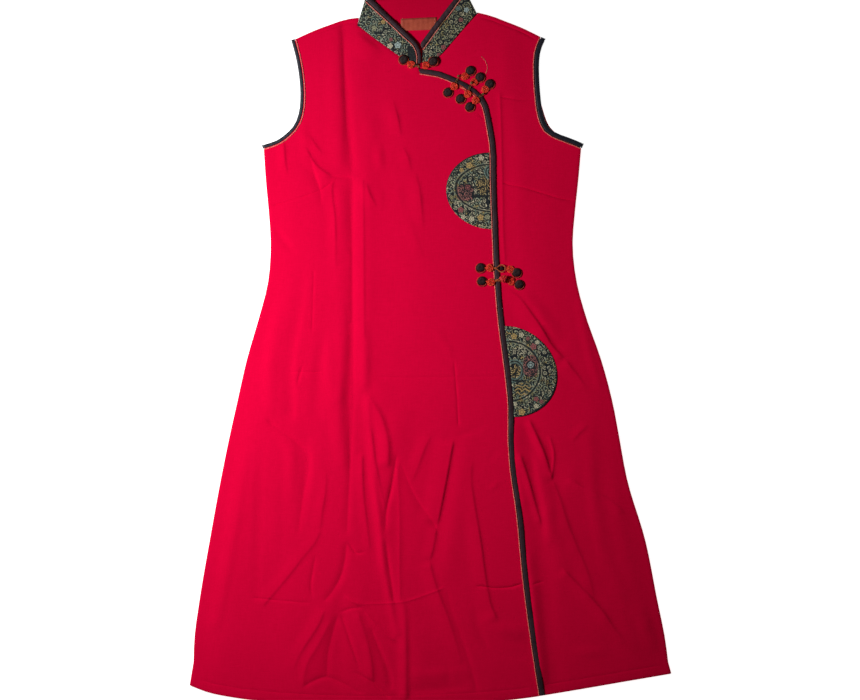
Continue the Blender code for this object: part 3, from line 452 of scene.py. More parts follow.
def height_of(node):
    """The top of a CAD panel as a smooth field, and where the panel is."""
    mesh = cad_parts[node].data
    tree = BVHTree.FromPolygons([v.co for v in mesh.vertices], [tuple(p.vertices) for p in mesh.polygons])
    heights = np.zeros(GRID_SHAPE)
    there = np.zeros(GRID_SHAPE)
    down = Vector((0, 0, -1))
    for i in range(GRID_SHAPE[0]):
        for j in range(GRID_SHAPE[1]):
            hit = tree.ray_cast(Vector((*GRID[i, j], 1.0)), down)[0]
            if hit is not None:
                heights[i, j] = hit.z
                there[i, j] = 1.0
    for axis, reach in ((0, SMOOTH_ACROSS), (1, SMOOTH_ALONG)):
        heights = blurred(heights, reach, axis)
        there = blurred(there, reach, axis)
    return np.where(there > 1e-3, heights / np.maximum(there, 1e-3), 0.0), there


def from_line(points, line):
    """Distance of points from a line, which side they are on, and how far along it they are, from 0 to 1."""
    best = np.full(len(points), np.inf)
    side = np.ones(len(points))
    share = np.zeros(len(points))
    steps = arc_lengths(line)
    for k, (a, b) in enumerate(zip(line, line[1:])):
        along = b - a
        length = np.linalg.norm(along)
        t = np.clip((points - a) @ along / length**2, 0.0, 1.0)
        away = points - a - t[:, None] * along
        distance = np.linalg.norm(away, axis=1)
        nearer = distance < best
        best = np.where(nearer, distance, best)
        side = np.where(nearer, np.sign(along[0] * away[:, 1] - along[1] * away[:, 0]), side)
        share = np.where(nearer, (steps[k] + t * length) / steps[-1], share)
    return best, side, share


def fold_heights(points, folds, sharp, seed):
    """What folds add to the height at points. A fold's height wavers along it, so none is quite even."""
    total = np.zeros(len(points))
    for k, (_, table, left, right, first, middle, last) in enumerate(folds):
        line = curved(table, 4 * MM)
        reach = max(left, right) * MM
        near = ((points > line.min(0) - reach) & (points < line.max(0) + reach)).all(1)
        if not near.any():
            continue
        distance, side, share = from_line(points[near], line)
        # A line that runs down the garment has its left, as seen, on the right of its own direction
        downwards = line[-1, 1] < line[0, 1]
        on_left = (side < 0) if downwards else (side > 0)
        width = np.where(on_left, left, right)
        away = np.clip(distance / (width * MM), 0.0, 1.0)
        shape = 0.5 + 0.5 * np.cos(np.pi * away)
        if sharp:
            # A valley is sharp on both sides, and a crest only where it drops steeply
            shape = np.where((middle < 0) | (width < NARROW), 1.0 - np.sin(np.pi * away / 2), shape)
        height = np.interp(share, [0.0, 0.5, 1.0], [first, middle, last]) * MM
        length = arc_lengths(line)[-1]
        height *= 1.0 + 0.15 * waves(share * length, (0.031, 0.053, 0.083), seed + k)
        run = (12 if sharp else 22) * MM
        fade = eased(share * length / run + 0.1) * eased((1 - share) * length / run + 0.1)
        total[near] += shape * height * fade
    return total


def read(field, points):
    """The height of a field at any points."""
    u = np.clip((points[:, :2] - LOW) / FIELD_STEP, 0, np.array(GRID_SHAPE) - 1.001)
    i = u.astype(int)
    u = u - i
    x, y = i[:, 0], i[:, 1]
    low = field[x, y] * (1 - u[:, 0]) + field[x + 1, y] * u[:, 0]
    high = field[x, y + 1] * (1 - u[:, 0]) + field[x + 1, y + 1] * u[:, 0]
    return low * (1 - u[:, 1]) + high * u[:, 1]


class Panel:
    """The height of a panel's top: its CAD form, its folds, and clear of the panel below it."""

    def __init__(self, node, soft, sharp, seed, below=None):
        self.field, self.there = height_of(node)
        self.soft = soft
        self.sharp = sharp
        self.seed = seed
        self.below = below

    def top(self, points):
        flat = points[:, :2]
        height = read(self.field, flat)
        height = height + fold_heights(flat, self.soft, False, self.seed)
        height = height + fold_heights(flat, self.sharp, True, self.seed + 3.0)
        height = np.maximum(height, LOWEST)
        if self.below is not None:
            clear = self.below.top(flat) + CLOTH + LAYER_GAP
            height = np.where(read(self.below.there, flat) > 0.3, np.maximum(height, clear), height)
        return height


# Meshes
class Shape:
    """Points and faces of one piece, gathered from several forms, each with a finish."""

    def __init__(self):
        self.points = []
        self.faces = []
        self.finishes = []
        self.count = 0

    def add(self, points, faces, finish=0):
        self.points.append(np.asarray(points, float))
        self.faces += [tuple(int(k) + self.count for k in face) for face in faces]
        self.finishes += [finish] * len(faces)
        self.count += len(points)
        return self

    def made(self, name, materials, slot, nodes=(), sharp=40):
        """The object, riding on the garment's one body."""
        mesh = bpy.data.meshes.new(name)
        mesh.from_pydata(np.vstack(self.points), [], self.faces)
        for material in materials:
            mesh.materials.append(material)
        mesh.polygons.foreach_set("material_index", self.finishes)
        mesh.shade_smooth()
        mesh.set_sharp_from_angle(angle=math.radians(sharp))
        mesh.update()
        piece = bpy.data.objects.new(name, mesh)
        bpy.context.scene.collection.objects.link(piece)
        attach(piece, "root")
        if nodes:
            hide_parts(*nodes)
        return piece


def skin(rings, closed=False, capped=True):
    """Points and faces over a row of rings with as many points each."""
    count, around = rings.shape[:2]
    faces = []
    for i in range(count if closed else count - 1):
        here, there = i * around, (i + 1) % count * around
        for k in range(around):
            next_k = (k + 1) % around
            faces.append((here + k, here + next_k, there + next_k, there + k))
    if capped and not closed:
        faces.append(tuple(range(around))[::-1])
        faces.append(tuple(range((count - 1) * around, count * around)))
    return rings.reshape(-1, 3), faces


def tube(path, radius, sides=8, closed=False, plies=0, lay=0.01, depth=0.14, flatness=1.0):
    """A cord along a path. With plies it is twisted, once in each lay of its length."""
    path = np.asarray(path, float)
    along = directions(path, closed)
    side = np.cross(along[0], [0.0, 0.0, 1.0])
    if np.linalg.norm(side) < 1e-3:
        side = np.array([1.0, 0.0, 0.0])
    sides_of = []
    for direction in along:
        side = side - direction * (side @ direction)
        side = side / np.linalg.norm(side)
        sides_of.append(side)
    across = np.array(sides_of)
    up = np.cross(across, along)
    if closed:
        # The frame is turned evenly along a closed path, so that its end meets its start
        slip = math.atan2(np.cross(across[-1], across[0]) @ along[0], across[-1] @ across[0])
        turn = (np.linspace(0, slip, len(path)))[:, None]
        across, up = across * np.cos(turn) + up * np.sin(turn), up * np.cos(turn) - across * np.sin(turn)
    angles = np.arange(sides) * 2 * math.pi / sides
    distance = arc_lengths(path)[:, None]
    radii = np.broadcast_to(np.reshape(radius, (-1, 1)), (len(path), 1)).astype(float)
    if plies:
        twist = np.cos(plies * angles[None, :] - 2 * math.pi * distance / lay)
        radii = radii * (1 + depth * (twist - 1))
    rings = (
        path[:, None, :]
        + across[:, None, :] * (radii * np.cos(angles))[..., None]
        + up[:, None, :] * (radii * np.sin(angles) * flatness)[..., None]
    )
    return skin(rings, closed)


def turned(profile, centre, base, segments=28, gathers=0, depth=0.0):
    """A round form from a profile of radius and height, from its outer foot to its middle."""
    rings = []
    angles = np.arange(segments) * 2 * math.pi / segments
    for k, (radius, height) in enumerate(profile):
        fold = 1 + depth * np.cos(gathers * angles) * math.sin(math.pi * k / (len(profile) - 1))
        rings.append(np.stack([
            centre[0] + radius * fold * np.cos(angles),
            centre[1] + radius * fold * np.sin(angles),
            np.full(segments, base + height),
        ], axis=1))
    return skin(np.array(rings))


def inside(points, outline):
    """Which points an outline encloses."""
    result = np.zeros(len(points), bool)
    x, y = points[:, 0], points[:, 1]
    for (ax, ay), (bx, by) in zip(outline, np.roll(outline, -1, axis=0)):
        crosses = (ay > y) != (by > y)
        if crosses.any():
            result ^= crosses & (x < (bx - ax) * (y - ay) / (by - ay + 1e-30) + ax)
    return result


def cloth_points(outline, step, lines, sharp=()):
    """An even pattern of points inside an outline, with closer rows beside thin lines and sharp folds."""
    low, high = outline.min(0), outline.max(0)
    rows = np.arange(low[1], high[1], step * 0.87)
    columns = np.arange(low[0], high[0], step)
    grid = np.stack(np.meshgrid(columns, rows), axis=-1)
    grid[1::2, :, 0] += step / 2
    grid = grid.reshape(-1, 2)
    kept = [spaced(np.vstack([outline, outline[:1]]), step * 0.8)[:-1]]
    fixed = len(kept[0])
    for _, table, half_width, _ in lines:
        line = curved(table, step * 0.6)
        for share in (-1.0, -0.5, 0.0, 0.5, 1.0):
            kept.append(moved_aside(line, share * half_width * MM))
    for _, table, *_ in sharp:
        line = curved(table, step * 0.8)
        for aside in (-3.0, -1.5, 0.0, 1.5, 3.0):
            kept.append(moved_aside(line, aside * MM))
    blocked = np.vstack(kept)
    tree = kdtree.KDTree(len(blocked))
    for k, (x, y) in enumerate(blocked):
        tree.insert((x, y, 0.0), k)
    tree.balance()
    free = [tree.find((x, y, 0.0))[2] > 0.55 * step for x, y in grid]
    loose = np.vstack(kept[1:] + [grid[np.array(free)]])
    loose = loose[inside(loose, kept[0])]
    edge = kdtree.KDTree(fixed)
    for k, (x, y) in enumerate(kept[0]):
        edge.insert((x, y, 0.0), k)
    edge.balance()
    clear = [edge.find((x, y, 0.0))[2] > 0.4 * step for x, y in loose]
    return kept[0], loose[np.array(clear)]


def line_height(points, lines):
    """What thin lines add to the height at points, with a faint lip at their sides."""
    total = np.zeros(len(points))
    for k, (_, table, half_width, height) in enumerate(lines):
        line = curved(table, 5 * MM)
        reach = 2.4 * half_width * MM
        near = ((points > line.min(0) - reach) & (points < line.max(0) + reach)).all(1)
        distance, _, share = from_line(points[near], line)
        d = distance / (half_width * MM)
        shape = np.exp(-((d / 0.75) ** 2)) - 0.22 * np.exp(-(((d - 1.5) / 0.6) ** 2))
        length = arc_lengths(line)[-1]
        fade = eased(share * length / (9 * MM)) * eased((1 - share) * length / (9 * MM))
        waver = 1 + 0.25 * waves(share * length, (0.023, 0.041), k * 1.3)
        total[near] += shape * height * MM * fade * waver * (distance < reach)
    return total


def add_cloth(name, outline, step, top, thickness, material, slot, node, lines=(), bottom=None, sharp=()):
    """A thin cloth shell inside an outline, with rounded edges. top gives its height at points."""
    edge, loose = cloth_points(outline[:, :2], step, lines, sharp)
    if (edge[:, 0] * np.roll(edge[:, 1], -1) - np.roll(edge[:, 0], -1) * edge[:, 1]).sum() < 0:
        edge = edge[::-1]
    count = len(edge)
    corners = [Vector(p) for p in np.vstack([edge, loose])]
    ring = list(range(count))
    points, _, faces, _, _, sources = delaunay_2d_cdt(corners, [], [ring], 0, 1e-7)
    faces = [face for face, source in zip(faces, sources) if source]
    points = np.array([tuple(p) for p in points])
    high = top(points) + line_height(points, lines)
    low = high - thickness if bottom is None else bottom(points)
    outwards = np.zeros((count, 2))
    along = directions(edge, True)
    outwards[:, 0], outwards[:, 1] = along[:, 1], -along[:, 0]
    roll = min(EDGE_ROLL, thickness / 3)
    high[:count] -= roll
    low[:count] += roll * (bottom is None)
    middle = np.column_stack([points[:count] + outwards * roll, (high[:count] + low[:count]) / 2])
    total = len(points)
    shape = Shape()
    solid = np.vstack([np.column_stack([points, high]), np.column_stack([points, low]), middle])
    made = list(faces) + [tuple(k + total for k in face[::-1]) for face in faces]
    for k in range(count):
        after = (k + 1) % count
        made.append((k, 2 * total + k, 2 * total + after, after))
        made.append((2 * total + k, total + k, total + after, 2 * total + after))
    shape.add(solid, made)
    return shape.made(name, [material], slot, [node], sharp=70)


# Materials
class Finish:
    """A Principled material, with short ways to add to its nodes. Lengths in it are millimetres."""

    def __init__(self, name, **sockets):
        self.material = bpy.data.materials.new(name)
        self.material.use_nodes = True
        self.nodes = self.material.node_tree.nodes
        self.links = self.material.node_tree.links
        self.shader = self.nodes["Principled BSDF"]
        for socket, value in sockets.items():
            self.shader.inputs[socket.replace("_", " ")].default_value = value
        place = self.add("ShaderNodeTexCoord").outputs["Object"]
        self.place = self.add("ShaderNodeVectorMath", {0: place, 1: (1000.0,) * 3}, operation="MULTIPLY").outputs[0]

    def add(self, kind, inputs=None, **settings):
        node = self.nodes.new(kind)
        for key, value in settings.items():
            setattr(node, key, value)
        for key, value in (inputs or {}).items():
            if isinstance(value, Number):
                value = value.socket
            if isinstance(value, bpy.types.NodeSocket):
                self.links.new(value, node.inputs[key])
            else:
                node.inputs[key].default_value = value
        return node

    def number(self, socket):
        return Number(self, socket)

    def axes(self, vector=None):
        """X, Y and Z of a place as numbers."""
        split = self.add("ShaderNodeSeparateXYZ", {0: vector or self.place})
        return [self.number(output) for output in split.outputs]

    def vector(self, x, y, z=0.0):
        return self.add("ShaderNodeCombineXYZ", {0: x, 1: y, 2: z}).outputs[0]

    def noise(self, size, detail=2.0, vector=None, roughness=0.5):
        node = self.add(
            "ShaderNodeTexNoise",
            {"Vector": vector or self.place, "Scale": 1.0 / size, "Detail": detail, "Roughness": roughness},
        )
        return self.number(node.outputs["Fac"])

    def cells(self, size, vector=None, randomness=1.0, feature="F1"):
        return self.add(
            "ShaderNodeTexVoronoi",
            {"Vector": vector or self.place, "Scale": 1.0 / size, "Randomness": randomness},
            feature=feature, voronoi_dimensions="2D",
        )

    def mix(self, share, first, second):
        """A colour between two, which are colours or sockets."""
        node = self.add("ShaderNodeMix", {0: share}, data_type="RGBA")
        for key, value in ((6, first), (7, second)):
            if isinstance(value, bpy.types.NodeSocket):
                self.links.new(value, node.inputs[key])
            else:
                node.inputs[key].default_value = (*value, 1.0)
        return node.outputs[2]

    def ramp(self, value, stops, smooth=True):
        node = self.add("ShaderNodeValToRGB", {0: value})
        node.color_ramp.interpolation = "EASE" if smooth else "CONSTANT"
        while len(node.color_ramp.elements) < len(stops):
            node.color_ramp.elements.new(0.5)
        for element, (position, colour) in zip(node.color_ramp.elements, stops):
            element.position = position
            element.color = (*colour, 1.0)
        return node.outputs[0]

    def colour(self, socket):
        self.links.new(socket, self.shader.inputs["Base Color"])

    def roughness(self, number):
        self.links.new(number.socket, self.shader.inputs["Roughness"])

    def bump(self, height, distance, strength=1.0):
        """Relief with a height from 0 to 1 over a distance in millimetres."""
        node = self.add("ShaderNodeBump", {"Height": height, "Distance": distance * MM, "Strength": strength})
        self.links.new(node.outputs[0], self.shader.inputs["Normal"])


class Number:
    """A value worked out at each place of a material, so that formulas can be written plainly."""

    def __init__(self, finish, socket):
        self.finish = finish
        self.socket = socket

    def made(self, operation, *others, clamp=False):
        node = self.finish.add(
            "ShaderNodeMath", {0: self.socket, **{k + 1: v for k, v in enumerate(others)}}, operation=operation
        )
        node.use_clamp = clamp
        return Number(self.finish, node.outputs[0])

    def __add__(self, other):
        return self.made("ADD", other)

    def __sub__(self, other):
        return self.made("SUBTRACT", other)

    def __mul__(self, other):
        return self.made("MULTIPLY", other)

    def __truediv__(self, other):
        return self.made("DIVIDE", other)

    def __abs__(self):
        return self.made("ABSOLUTE")

    def sine(self):
        return self.made("SINE")

    def larger(self, other):
        return self.made("MAXIMUM", other)

    def smaller(self, other):
        return self.made("MINIMUM", other)

    def above(self, level, blur):
        """0 below a level and 1 above it, with a soft step."""
        return self.made("SUBTRACT", level).made("DIVIDE", blur).made("ADD", 0.5, clamp=True)

    def below(self, level, blur):
        return self.above(level, -blur)

    def band(self, centre, half_width, blur):
        """1 within half_width of the centre value, 0 away from it."""
        return abs(self - centre).below(half_width, blur)


def red_cloth(name="red_cloth", shade=1.0):
    made = Finish(
        name, Roughness=0.9, Specular_IOR_Level=0.2, Specular_Tint=(1.0, 0.03, 0.08, 1.0),
        Sheen_Weight=0.06, Sheen_Roughness=0.5, Sheen_Tint=(1.0, 0.03, 0.08, 1.0),
    )
    x, y, z = made.axes()
    slub = made.noise(1.0, 2.0, made.vector(x / 0.9, y / 14.0, z))
    pick = made.noise(1.0, 2.0, made.vector(x / 12.0, y / 0.9, z))
    cloud = made.noise(60.0, 2.0)
    tone = slub * 0.4 + pick * 0.45 + cloud * 0.15
    # A shade below 1 darkens the whole colour: painted shade, for cloth that lies in shadow.
    made.colour(made.ramp(tone, (
        (0.25, (0.7 * shade, 0.0008, 0.037 * shade)), (0.75, (0.8 * shade, 0.0012, 0.047 * shade)),
    )))
    warp = (x * (2 * math.pi / 0.62)).sine()
    weft = (y * (2 * math.pi / 0.62)).sine()
    weave = warp * weft * 0.3 + slub * 0.3 + pick * 0.35
    made.bump(weave, 0.08, 0.6)
    return made.material


def dark_satin():
    made = Finish("dark_satin", Specular_IOR_Level=0.3, Sheen_Weight=0.04, Sheen_Roughness=0.4)
    x, y, z = made.axes()
    twill = ((x + y) * (2 * math.pi / 0.55)).sine()
    thread = made.noise(1.0, 2.0, made.vector((x + y) / 0.5, (x - y) / 4.0, z))
    cloud = made.noise(17.0, 2.0)
    made.colour(made.ramp(
        thread * 0.45 + cloud * 0.6,
        ((0.3, (0.018, 0.008, 0.013)), (0.55, (0.040, 0.017, 0.025)), (0.8, (0.068, 0.030, 0.040))),
    ))
    made.roughness(thread * 0.2 + 0.48)
    made.bump(twill * 0.3 + thread * 0.6, 0.1, 0.5)
    return made.material


def black_satin():
    """The armhole bindings, which lean to navy."""
    made = Finish("navy_satin", Specular_IOR_Level=0.35, Sheen_Weight=0.04, Sheen_Roughness=0.4)
    x, y, z = made.axes()
    thread = made.noise(1.0, 2.0, made.vector((x + y) / 0.5, (x - y) / 4.0, z))
    cloud = made.noise(21.0, 2.0)
    made.colour(made.ramp(
        thread * 0.45 + cloud * 0.6,
        ((0.3, (0.006, 0.007, 0.014)), (0.55, (0.012, 0.012, 0.022)), (0.8, (0.03, 0.022, 0.034))),
    ))
    made.roughness(thread * 0.2 + 0.42)
    made.bump(thread, 0.1, 0.6)
    return made.material


def cord_finish(name, dark, middle, light, roughness=0.55):
    """Twisted rayon cord in three tones."""
    made = Finish(name, Roughness=roughness, Specular_IOR_Level=0.25)
    x, y, z = made.axes()
    strand = ((x * 0.8 + y + z * 1.4) * (2 * math.pi / 0.7)).sine()
    cloud = made.noise(2.2, 3.0)
    fleck = made.noise(0.6, 2.0)
    made.colour(made.ramp(
        strand * 0.12 + cloud * 0.7 + fleck * 0.25, ((0.28, dark), (0.5, middle), (0.74, light))
    ))
    made.bump(strand * 0.5 + fleck * 0.5, 0.12, 0.7)
    return made.material


# Thread colours of the brocade
GROUND = (0.006, 0.010, 0.014)
SAGE = (0.42, 0.42, 0.25)
TEAL = (0.17, 0.28, 0.25)
GOLD = (0.62, 0.42, 0.15)
CREAM = (0.75, 0.68, 0.46)
ROSE = (0.42, 0.12, 0.12)
PALE = (0.48, 0.60, 0.56)
KHAKI = (0.36, 0.33, 0.15)

# Blossoms of the brocade: middle, radius and colour, placed freely about the band
COLLAR_BLOSSOMS = (
    (-46.5, 428.0, 5.0, PALE),
    (-57.5, 427.0, 4.2, CREAM),
    (-56.0, 436.0, 2.8, ROSE),
    (-67.0, 461.0, 3.6, GOLD),
    (-80.0, 452.0, 4.0, SAGE),
    (51.0, 478.0, 4.0, PALE),
    (39.0, 480.0, 3.6, TEAL),
    (43.0, 464.0, 3.4, ROSE),
    (18.5, 425.0, 3.8, ROSE),
    (12.0, 414.0, 3.2, ROSE),
)
MEDALLION_ART = {
    "medallion_upper": {
        "edge": (88.0, 220.4, 67.0, 56.5),
        "ring": (88.0, 225.5, 52.0, 33.5),
        "rose": (49.5, 219.0, 12.5, 12.0),
        "drop": (53.0, 226.0, 4.6, 5.0),
        "drop_tone": ROSE,
        "heart": (76.0, 228.0, 11.0, 12.0),
        "pale": (79.0, 201.0, 9.0, 8.0),
        "arcs": (92.0, 248.0, 15.0, 12.0),
        "branch": (70.0, 214.0, 13.0, 1.9),
        "blossoms": (
            (72.0, 268.0, 4.2, CREAM),
            (55.0, 257.5, 4.8, GOLD),
            (44.0, 251.0, 3.4, GOLD),
            (30.0, 212.0, 3.0, KHAKI),
            (43.0, 194.5, 4.4, ROSE),
            (46.5, 184.5, 3.6, CREAM),
            (58.5, 181.5, 4.2, CREAM),
            (71.0, 183.5, 4.8, GOLD),
            (81.0, 184.5, 3.8, SAGE),
        ),
    },
    "medallion_lower": {
        "edge": (112.0, -34.5, 70.0, 67.0),
        "ring": (112.0, -34.5, 43.5, 42.0),
        "rose": (142.0, -27.0, 10.5, 15.5),
        "drop": (142.0, -25.5, 5.6, 5.6),
        "drop_tone": PALE,
        "heart": (120.0, -34.0, 8.0, 10.0),
        "pale": (128.0, -6.0, 12.0, 6.0),
        "arcs": (119.0, -34.0, 14.0, 15.5),
        "branch": (126.0, -48.5, 9.0, 1.2),
        "zigzag": (131.0, -60.0, 12.0, 9.0),
        "blossoms": (
            (118.5, 15.0, 4.6, GOLD),
            (129.0, 17.0, 4.0, CREAM),
            (138.0, 12.0, 3.0, ROSE),
            (146.0, 0.5, 4.8, ROSE),
            (151.5, 6.5, 3.2, CREAM),
            (150.0, -74.0, 3.8, ROSE),
            (157.5, -77.5, 3.4, ROSE),
            (150.0, -84.0, 3.8, CREAM),
            (129.5, -92.5, 5.2, GOLD),
            (120.0, -81.0, 3.4, CREAM),
        ),
    },
}


def brocade_threads(made, x, y):
    """Close scrolls in fine threads, with ringed buds among them: where they lie, and their tone."""
    wander = made.noise(9.0, 1.0) * 5.0
    bent_x, bent_y = x + wander, y - wander
    cells = made.cells(7.0, made.vector(bent_x, bent_y), 0.9)
    middle_x, middle_y, _ = made.axes(cells.outputs["Position"])
    hue = made.number(made.add("ShaderNodeSeparateColor", {0: cells.outputs["Color"]}).outputs[0])
    away = made.number(cells.outputs["Distance"]) * 7.0
    turn = (bent_y - middle_y).made("ARCTAN2", bent_x - middle_x)
    hand = hue.above(0.5, 0.01) * 2.0 - 1.0
    scroll = (away * (2 * math.pi / 3.1) + turn * hand + hue * 9.0).sine().above(0.15, 0.6)
    bud = away.band(2.1, 0.5, 0.5).larger(away.below(0.7, 0.4)) * away.below(3.4, 0.3)
    budding = hue.band(0.5, 0.12, 0.01)
    thread = bud * budding + scroll * (budding * -1.0 + 1.0)
    gap = made.noise(13.0, 1.0).band(0.5, 0.010, 0.010)
    thread = thread * (gap * -0.9 + 1.0) * made.noise(2.9, 1.0).above(0.41, 0.26)
    tone = made.ramp(made.noise(7.0, 2.0), (
        (0.3, GOLD), (0.38, KHAKI), (0.46, SAGE), (0.52, TEAL), (0.56, SAGE), (0.66, CREAM),
    ))
    return thread, made.mix(budding * 0.6, tone, CREAM)


def add_blossoms(made, x, y, table, thread, tone):
    """Five-petalled blossoms with a dark heart and outline over the other threads."""
    for k, (middle_x, middle_y, radius, colour) in enumerate(table):
        across, along = x - middle_x, y - middle_y
        away = (across * across + along * along).made("POWER", 0.5)
        petals = (along.made("ARCTAN2", across) * 5.0 + k * 1.7).sine() * (radius * 0.13) + radius * 0.87
        form = (petals - away).above(0.0, 0.5)
        dark = (petals - away).band(-0.6, 0.45, 0.4).larger(away.band(radius * 0.45, 0.32, 0.3))
        tone = made.mix(form, tone, colour)
        thread = thread.larger(form * 0.85) * (dark * -0.85 + 1.0)
    return thread, tone


def finish_brocade(made, thread, tone, x, y):
    """Fine ribs across the brocade, and the figure a little above the ground."""
    rib = (y * (2 * math.pi / 0.8)).sine() * 0.5 + 0.5
    speck = made.noise(0.9, 2.0)
    shade = rib * 0.2 + speck * 0.8
    worn = made.mix(shade.above(0.7, 0.5) * 0.5, tone, GROUND)
    made.colour(made.mix(thread, GROUND, worn))
    made.roughness(thread * -0.1 + 0.62)
    made.bump(thread * 0.6 + rib * 0.3, 0.3, 0.7)


def collar_brocade():
    """Bluer towards the wearer's right and khaki towards the left, with a plain dark leaf at the front."""
    made = Finish("brocade_collar", Specular_IOR_Level=0.3, Sheen_Weight=0.05, Sheen_Roughness=0.5)
    x, y, _ = made.axes()
    thread, tone = brocade_threads(made, x, y)
    tone = made.mix(x.below(-20.0, 20.0) * 0.3, tone, TEAL)
    tone = made.mix(x.above(5.0, 20.0) * 0.35, tone, KHAKI)
    thread, tone = add_blossoms(made, x, y, COLLAR_BLOSSOMS, thread, tone)
    across = ((y - LEAF[1]) * 0.28 + (x - LEAF[0])) / LEAF[2]
    along = (y - LEAF[1]) / LEAF[3]
    leaf = (across * across + along * along).below(1.0, 0.15)
    finish_brocade(made, thread * (leaf * -0.95 + 1.0), tone, x, y)
    return made.material


def medallion_brocade(name):
    """A dark oval ring within a band of blossoms, with a rose lobe, a gold heart and pale arcs inside it."""
    art = MEDALLION_ART[name]
    made = Finish(f"brocade_{name}", Specular_IOR_Level=0.3, Sheen_Weight=0.05, Sheen_Roughness=0.5)
    x, y, _ = made.axes()

    def oval(key, power=2.0):
        middle_x, middle_y, reach_x, reach_y = art[key]
        across, along = abs(x - middle_x) / reach_x, abs(y - middle_y) / reach_y
        return (across.made("POWER", power) + along.made("POWER", power)).made("POWER", 1 / power)

    thread, tone = brocade_threads(made, x, y)
    edge, ring, rose, drop = oval("edge"), oval("ring"), oval("rose", 3.0), oval("drop")
    arcs, branch = oval("arcs"), oval("branch")
    tone = made.mix(oval("heart").below(1.0, 0.4) * 0.85, tone, GOLD)
    tone = made.mix(oval("pale").below(1.0, 0.4) * 0.8, tone, CREAM)
    arc = arcs.band(1.0, 0.055, 0.05).larger(arcs.band(0.76, 0.055, 0.05)) * ring.below(0.95, 0.02)
    tone = made.mix(arc, tone, TEAL)
    thread = thread.larger(arc * 0.6)
    if "zigzag" in art:
        bend = made.noise(14.0, 1.0) * 6.0
        peak = abs(((x + bend) / 11.0).made("FRACT") - 0.5) * 9.0
        row = ((y + peak + bend) * (2 * math.pi / 5.2)).sine().above(0.55, 0.5)
        zigzag = oval("zigzag").below(1.0, 0.1)
        tone = made.mix(zigzag * row, tone, GOLD)
        thread = (thread * (zigzag * -0.55 + 1.0)).larger(row * zigzag * 0.85)
    tone = made.mix(rose.below(1.0, 0.12) * 0.85, tone, ROSE)
    tone = made.mix(drop.below(0.85, 0.1), tone, art["drop_tone"])
    thread = thread.larger(drop.below(0.7, 0.15) * 0.7)
    thread, tone = add_blossoms(made, x, y, art["blossoms"], thread, tone)
    lines = ring.band(1.0, 0.026, 0.02).larger(edge.above(0.975, 0.015)).larger(drop.band(1.0, 0.14, 0.1))
    lines = lines.larger(branch.below(1.0, 0.3)).larger(drop.band(0.45, 0.12, 0.1)).larger(arcs.band(0.88, 0.05, 0.04) * ring.below(0.95, 0.02))
    rim = ring.band(0.95, 0.018, 0.015).larger(ring.band(1.05, 0.018, 0.015))
    thread = thread.larger(rim * 0.45) * (lines * -0.95 + 1.0)
    finish_brocade(made, thread, tone, x, y)
    return made.material


def label_weave():
    made = Finish("label_weave", Roughness=0.6, Specular_IOR_Level=0.35, Sheen_Weight=0.1)
    x, y, _ = made.axes()
    rib = (y * (2 * math.pi / 0.55)).sine() * 0.5 + 0.5
    cloud = made.noise(6.0, 3.0)
    fine = made.noise(0.7, 2.0)
    low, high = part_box("neck_label")
    middle, half = (low.y + high.y) / 2 / MM, (high.y - low.y) / 2 / MM
    woven = made.ramp(cloud * 0.5 + fine * 0.3 + rib * 0.2, ((0.3, (0.37, 0.048, 0.022)), (0.75, (0.6, 0.105, 0.05))))
    hemmed = (abs(y - middle - x * 0.05) / half).above(0.8, 0.2)
    made.colour(made.mix(hemmed * 0.6, woven, (0.2, 0.02, 0.015)))
    made.bump(rib * 0.5 + fine * 0.5, 0.12, 0.8)
    return made.material


RED = red_cloth()
# The collar lining is the red cloth darkened to 0.84: painted shade for the inside of the neck, which lies in shadow.
SHADED_LINING = red_cloth("red_lining_painted_shade", 0.84)
SATIN = dark_satin()
NAVY = black_satin()
CORAL = cord_finish("coral_cord", (0.58, 0.010, 0.008), (0.95, 0.048, 0.020), (1.0, 0.20, 0.08))
PIPING = cord_finish("piping_cord", (0.55, 0.06, 0.055), (0.88, 0.22, 0.18), (1.0, 0.44, 0.34), 0.5)
GOLD_CORD = cord_finish("gold_cord", (0.05, 0.018, 0.008), (0.22, 0.09, 0.03), (0.55, 0.3, 0.12), 0.4)
LOOP = cord_finish("loop_cord", (0.2, 0.03, 0.012), (0.6, 0.12, 0.04), (0.85, 0.34, 0.12), 0.45)
RIM = cord_finish("rim_cord", (0.14, 0.008, 0.008), (0.42, 0.03, 0.016), (0.8, 0.14, 0.06), 0.5)
CRIMSON = cord_finish("crimson_cord", (0.3, 0.003, 0.012), (0.72, 0.012, 0.03), (0.95, 0.14, 0.05), 0.5)
BUTTON = cord_finish("button_satin", (0.005, 0.002, 0.003), (0.020, 0.006, 0.007), (0.06, 0.022, 0.022), 0.6)
LABEL = label_weave()


# Panels
def add_panels():
    """The three panels, each clear of the one below. Returns the two fronts."""
    under = Panel("front_panel_under", placed(UNDER_SOFT), placed(UNDER_SHARP), 2.1)
    over = Panel("front_panel_over", placed(OVER_SOFT), placed(OVER_SHARP), 0.4, under)
    for name, panel, lines in (
        ("front_panel_over", over, placed(OVER_LINES)),
        ("front_panel_under", under, placed(UNDER_LINES)),
    ):
        outline = outlines(name, 1, 0.5)[0]
        piece = add_cloth(
            f"cloth_{name}", outline, PANEL_STEP, panel.top, CLOTH, RED, "red_cloth", name,
            lines + (hem_stitches(outline),), sharp=panel.sharp,
        )
        declare(outline)
    outline = outlines("back_panel", 1)[0]
    back = add_cloth(
        "cloth_back_panel", outline, BACK_STEP, lambda points: np.full(len(points), 1.2 * MM), CLOTH,
        RED, "red_cloth", "back_panel",
        bottom=lambda points: np.clip(
            fold_heights(points, BACK_FOLDS, False, 5.0) + line_height(points, BACK_LINES), 0, 0.6 * MM
        ),
    )
    declare(outline)
    return over, under


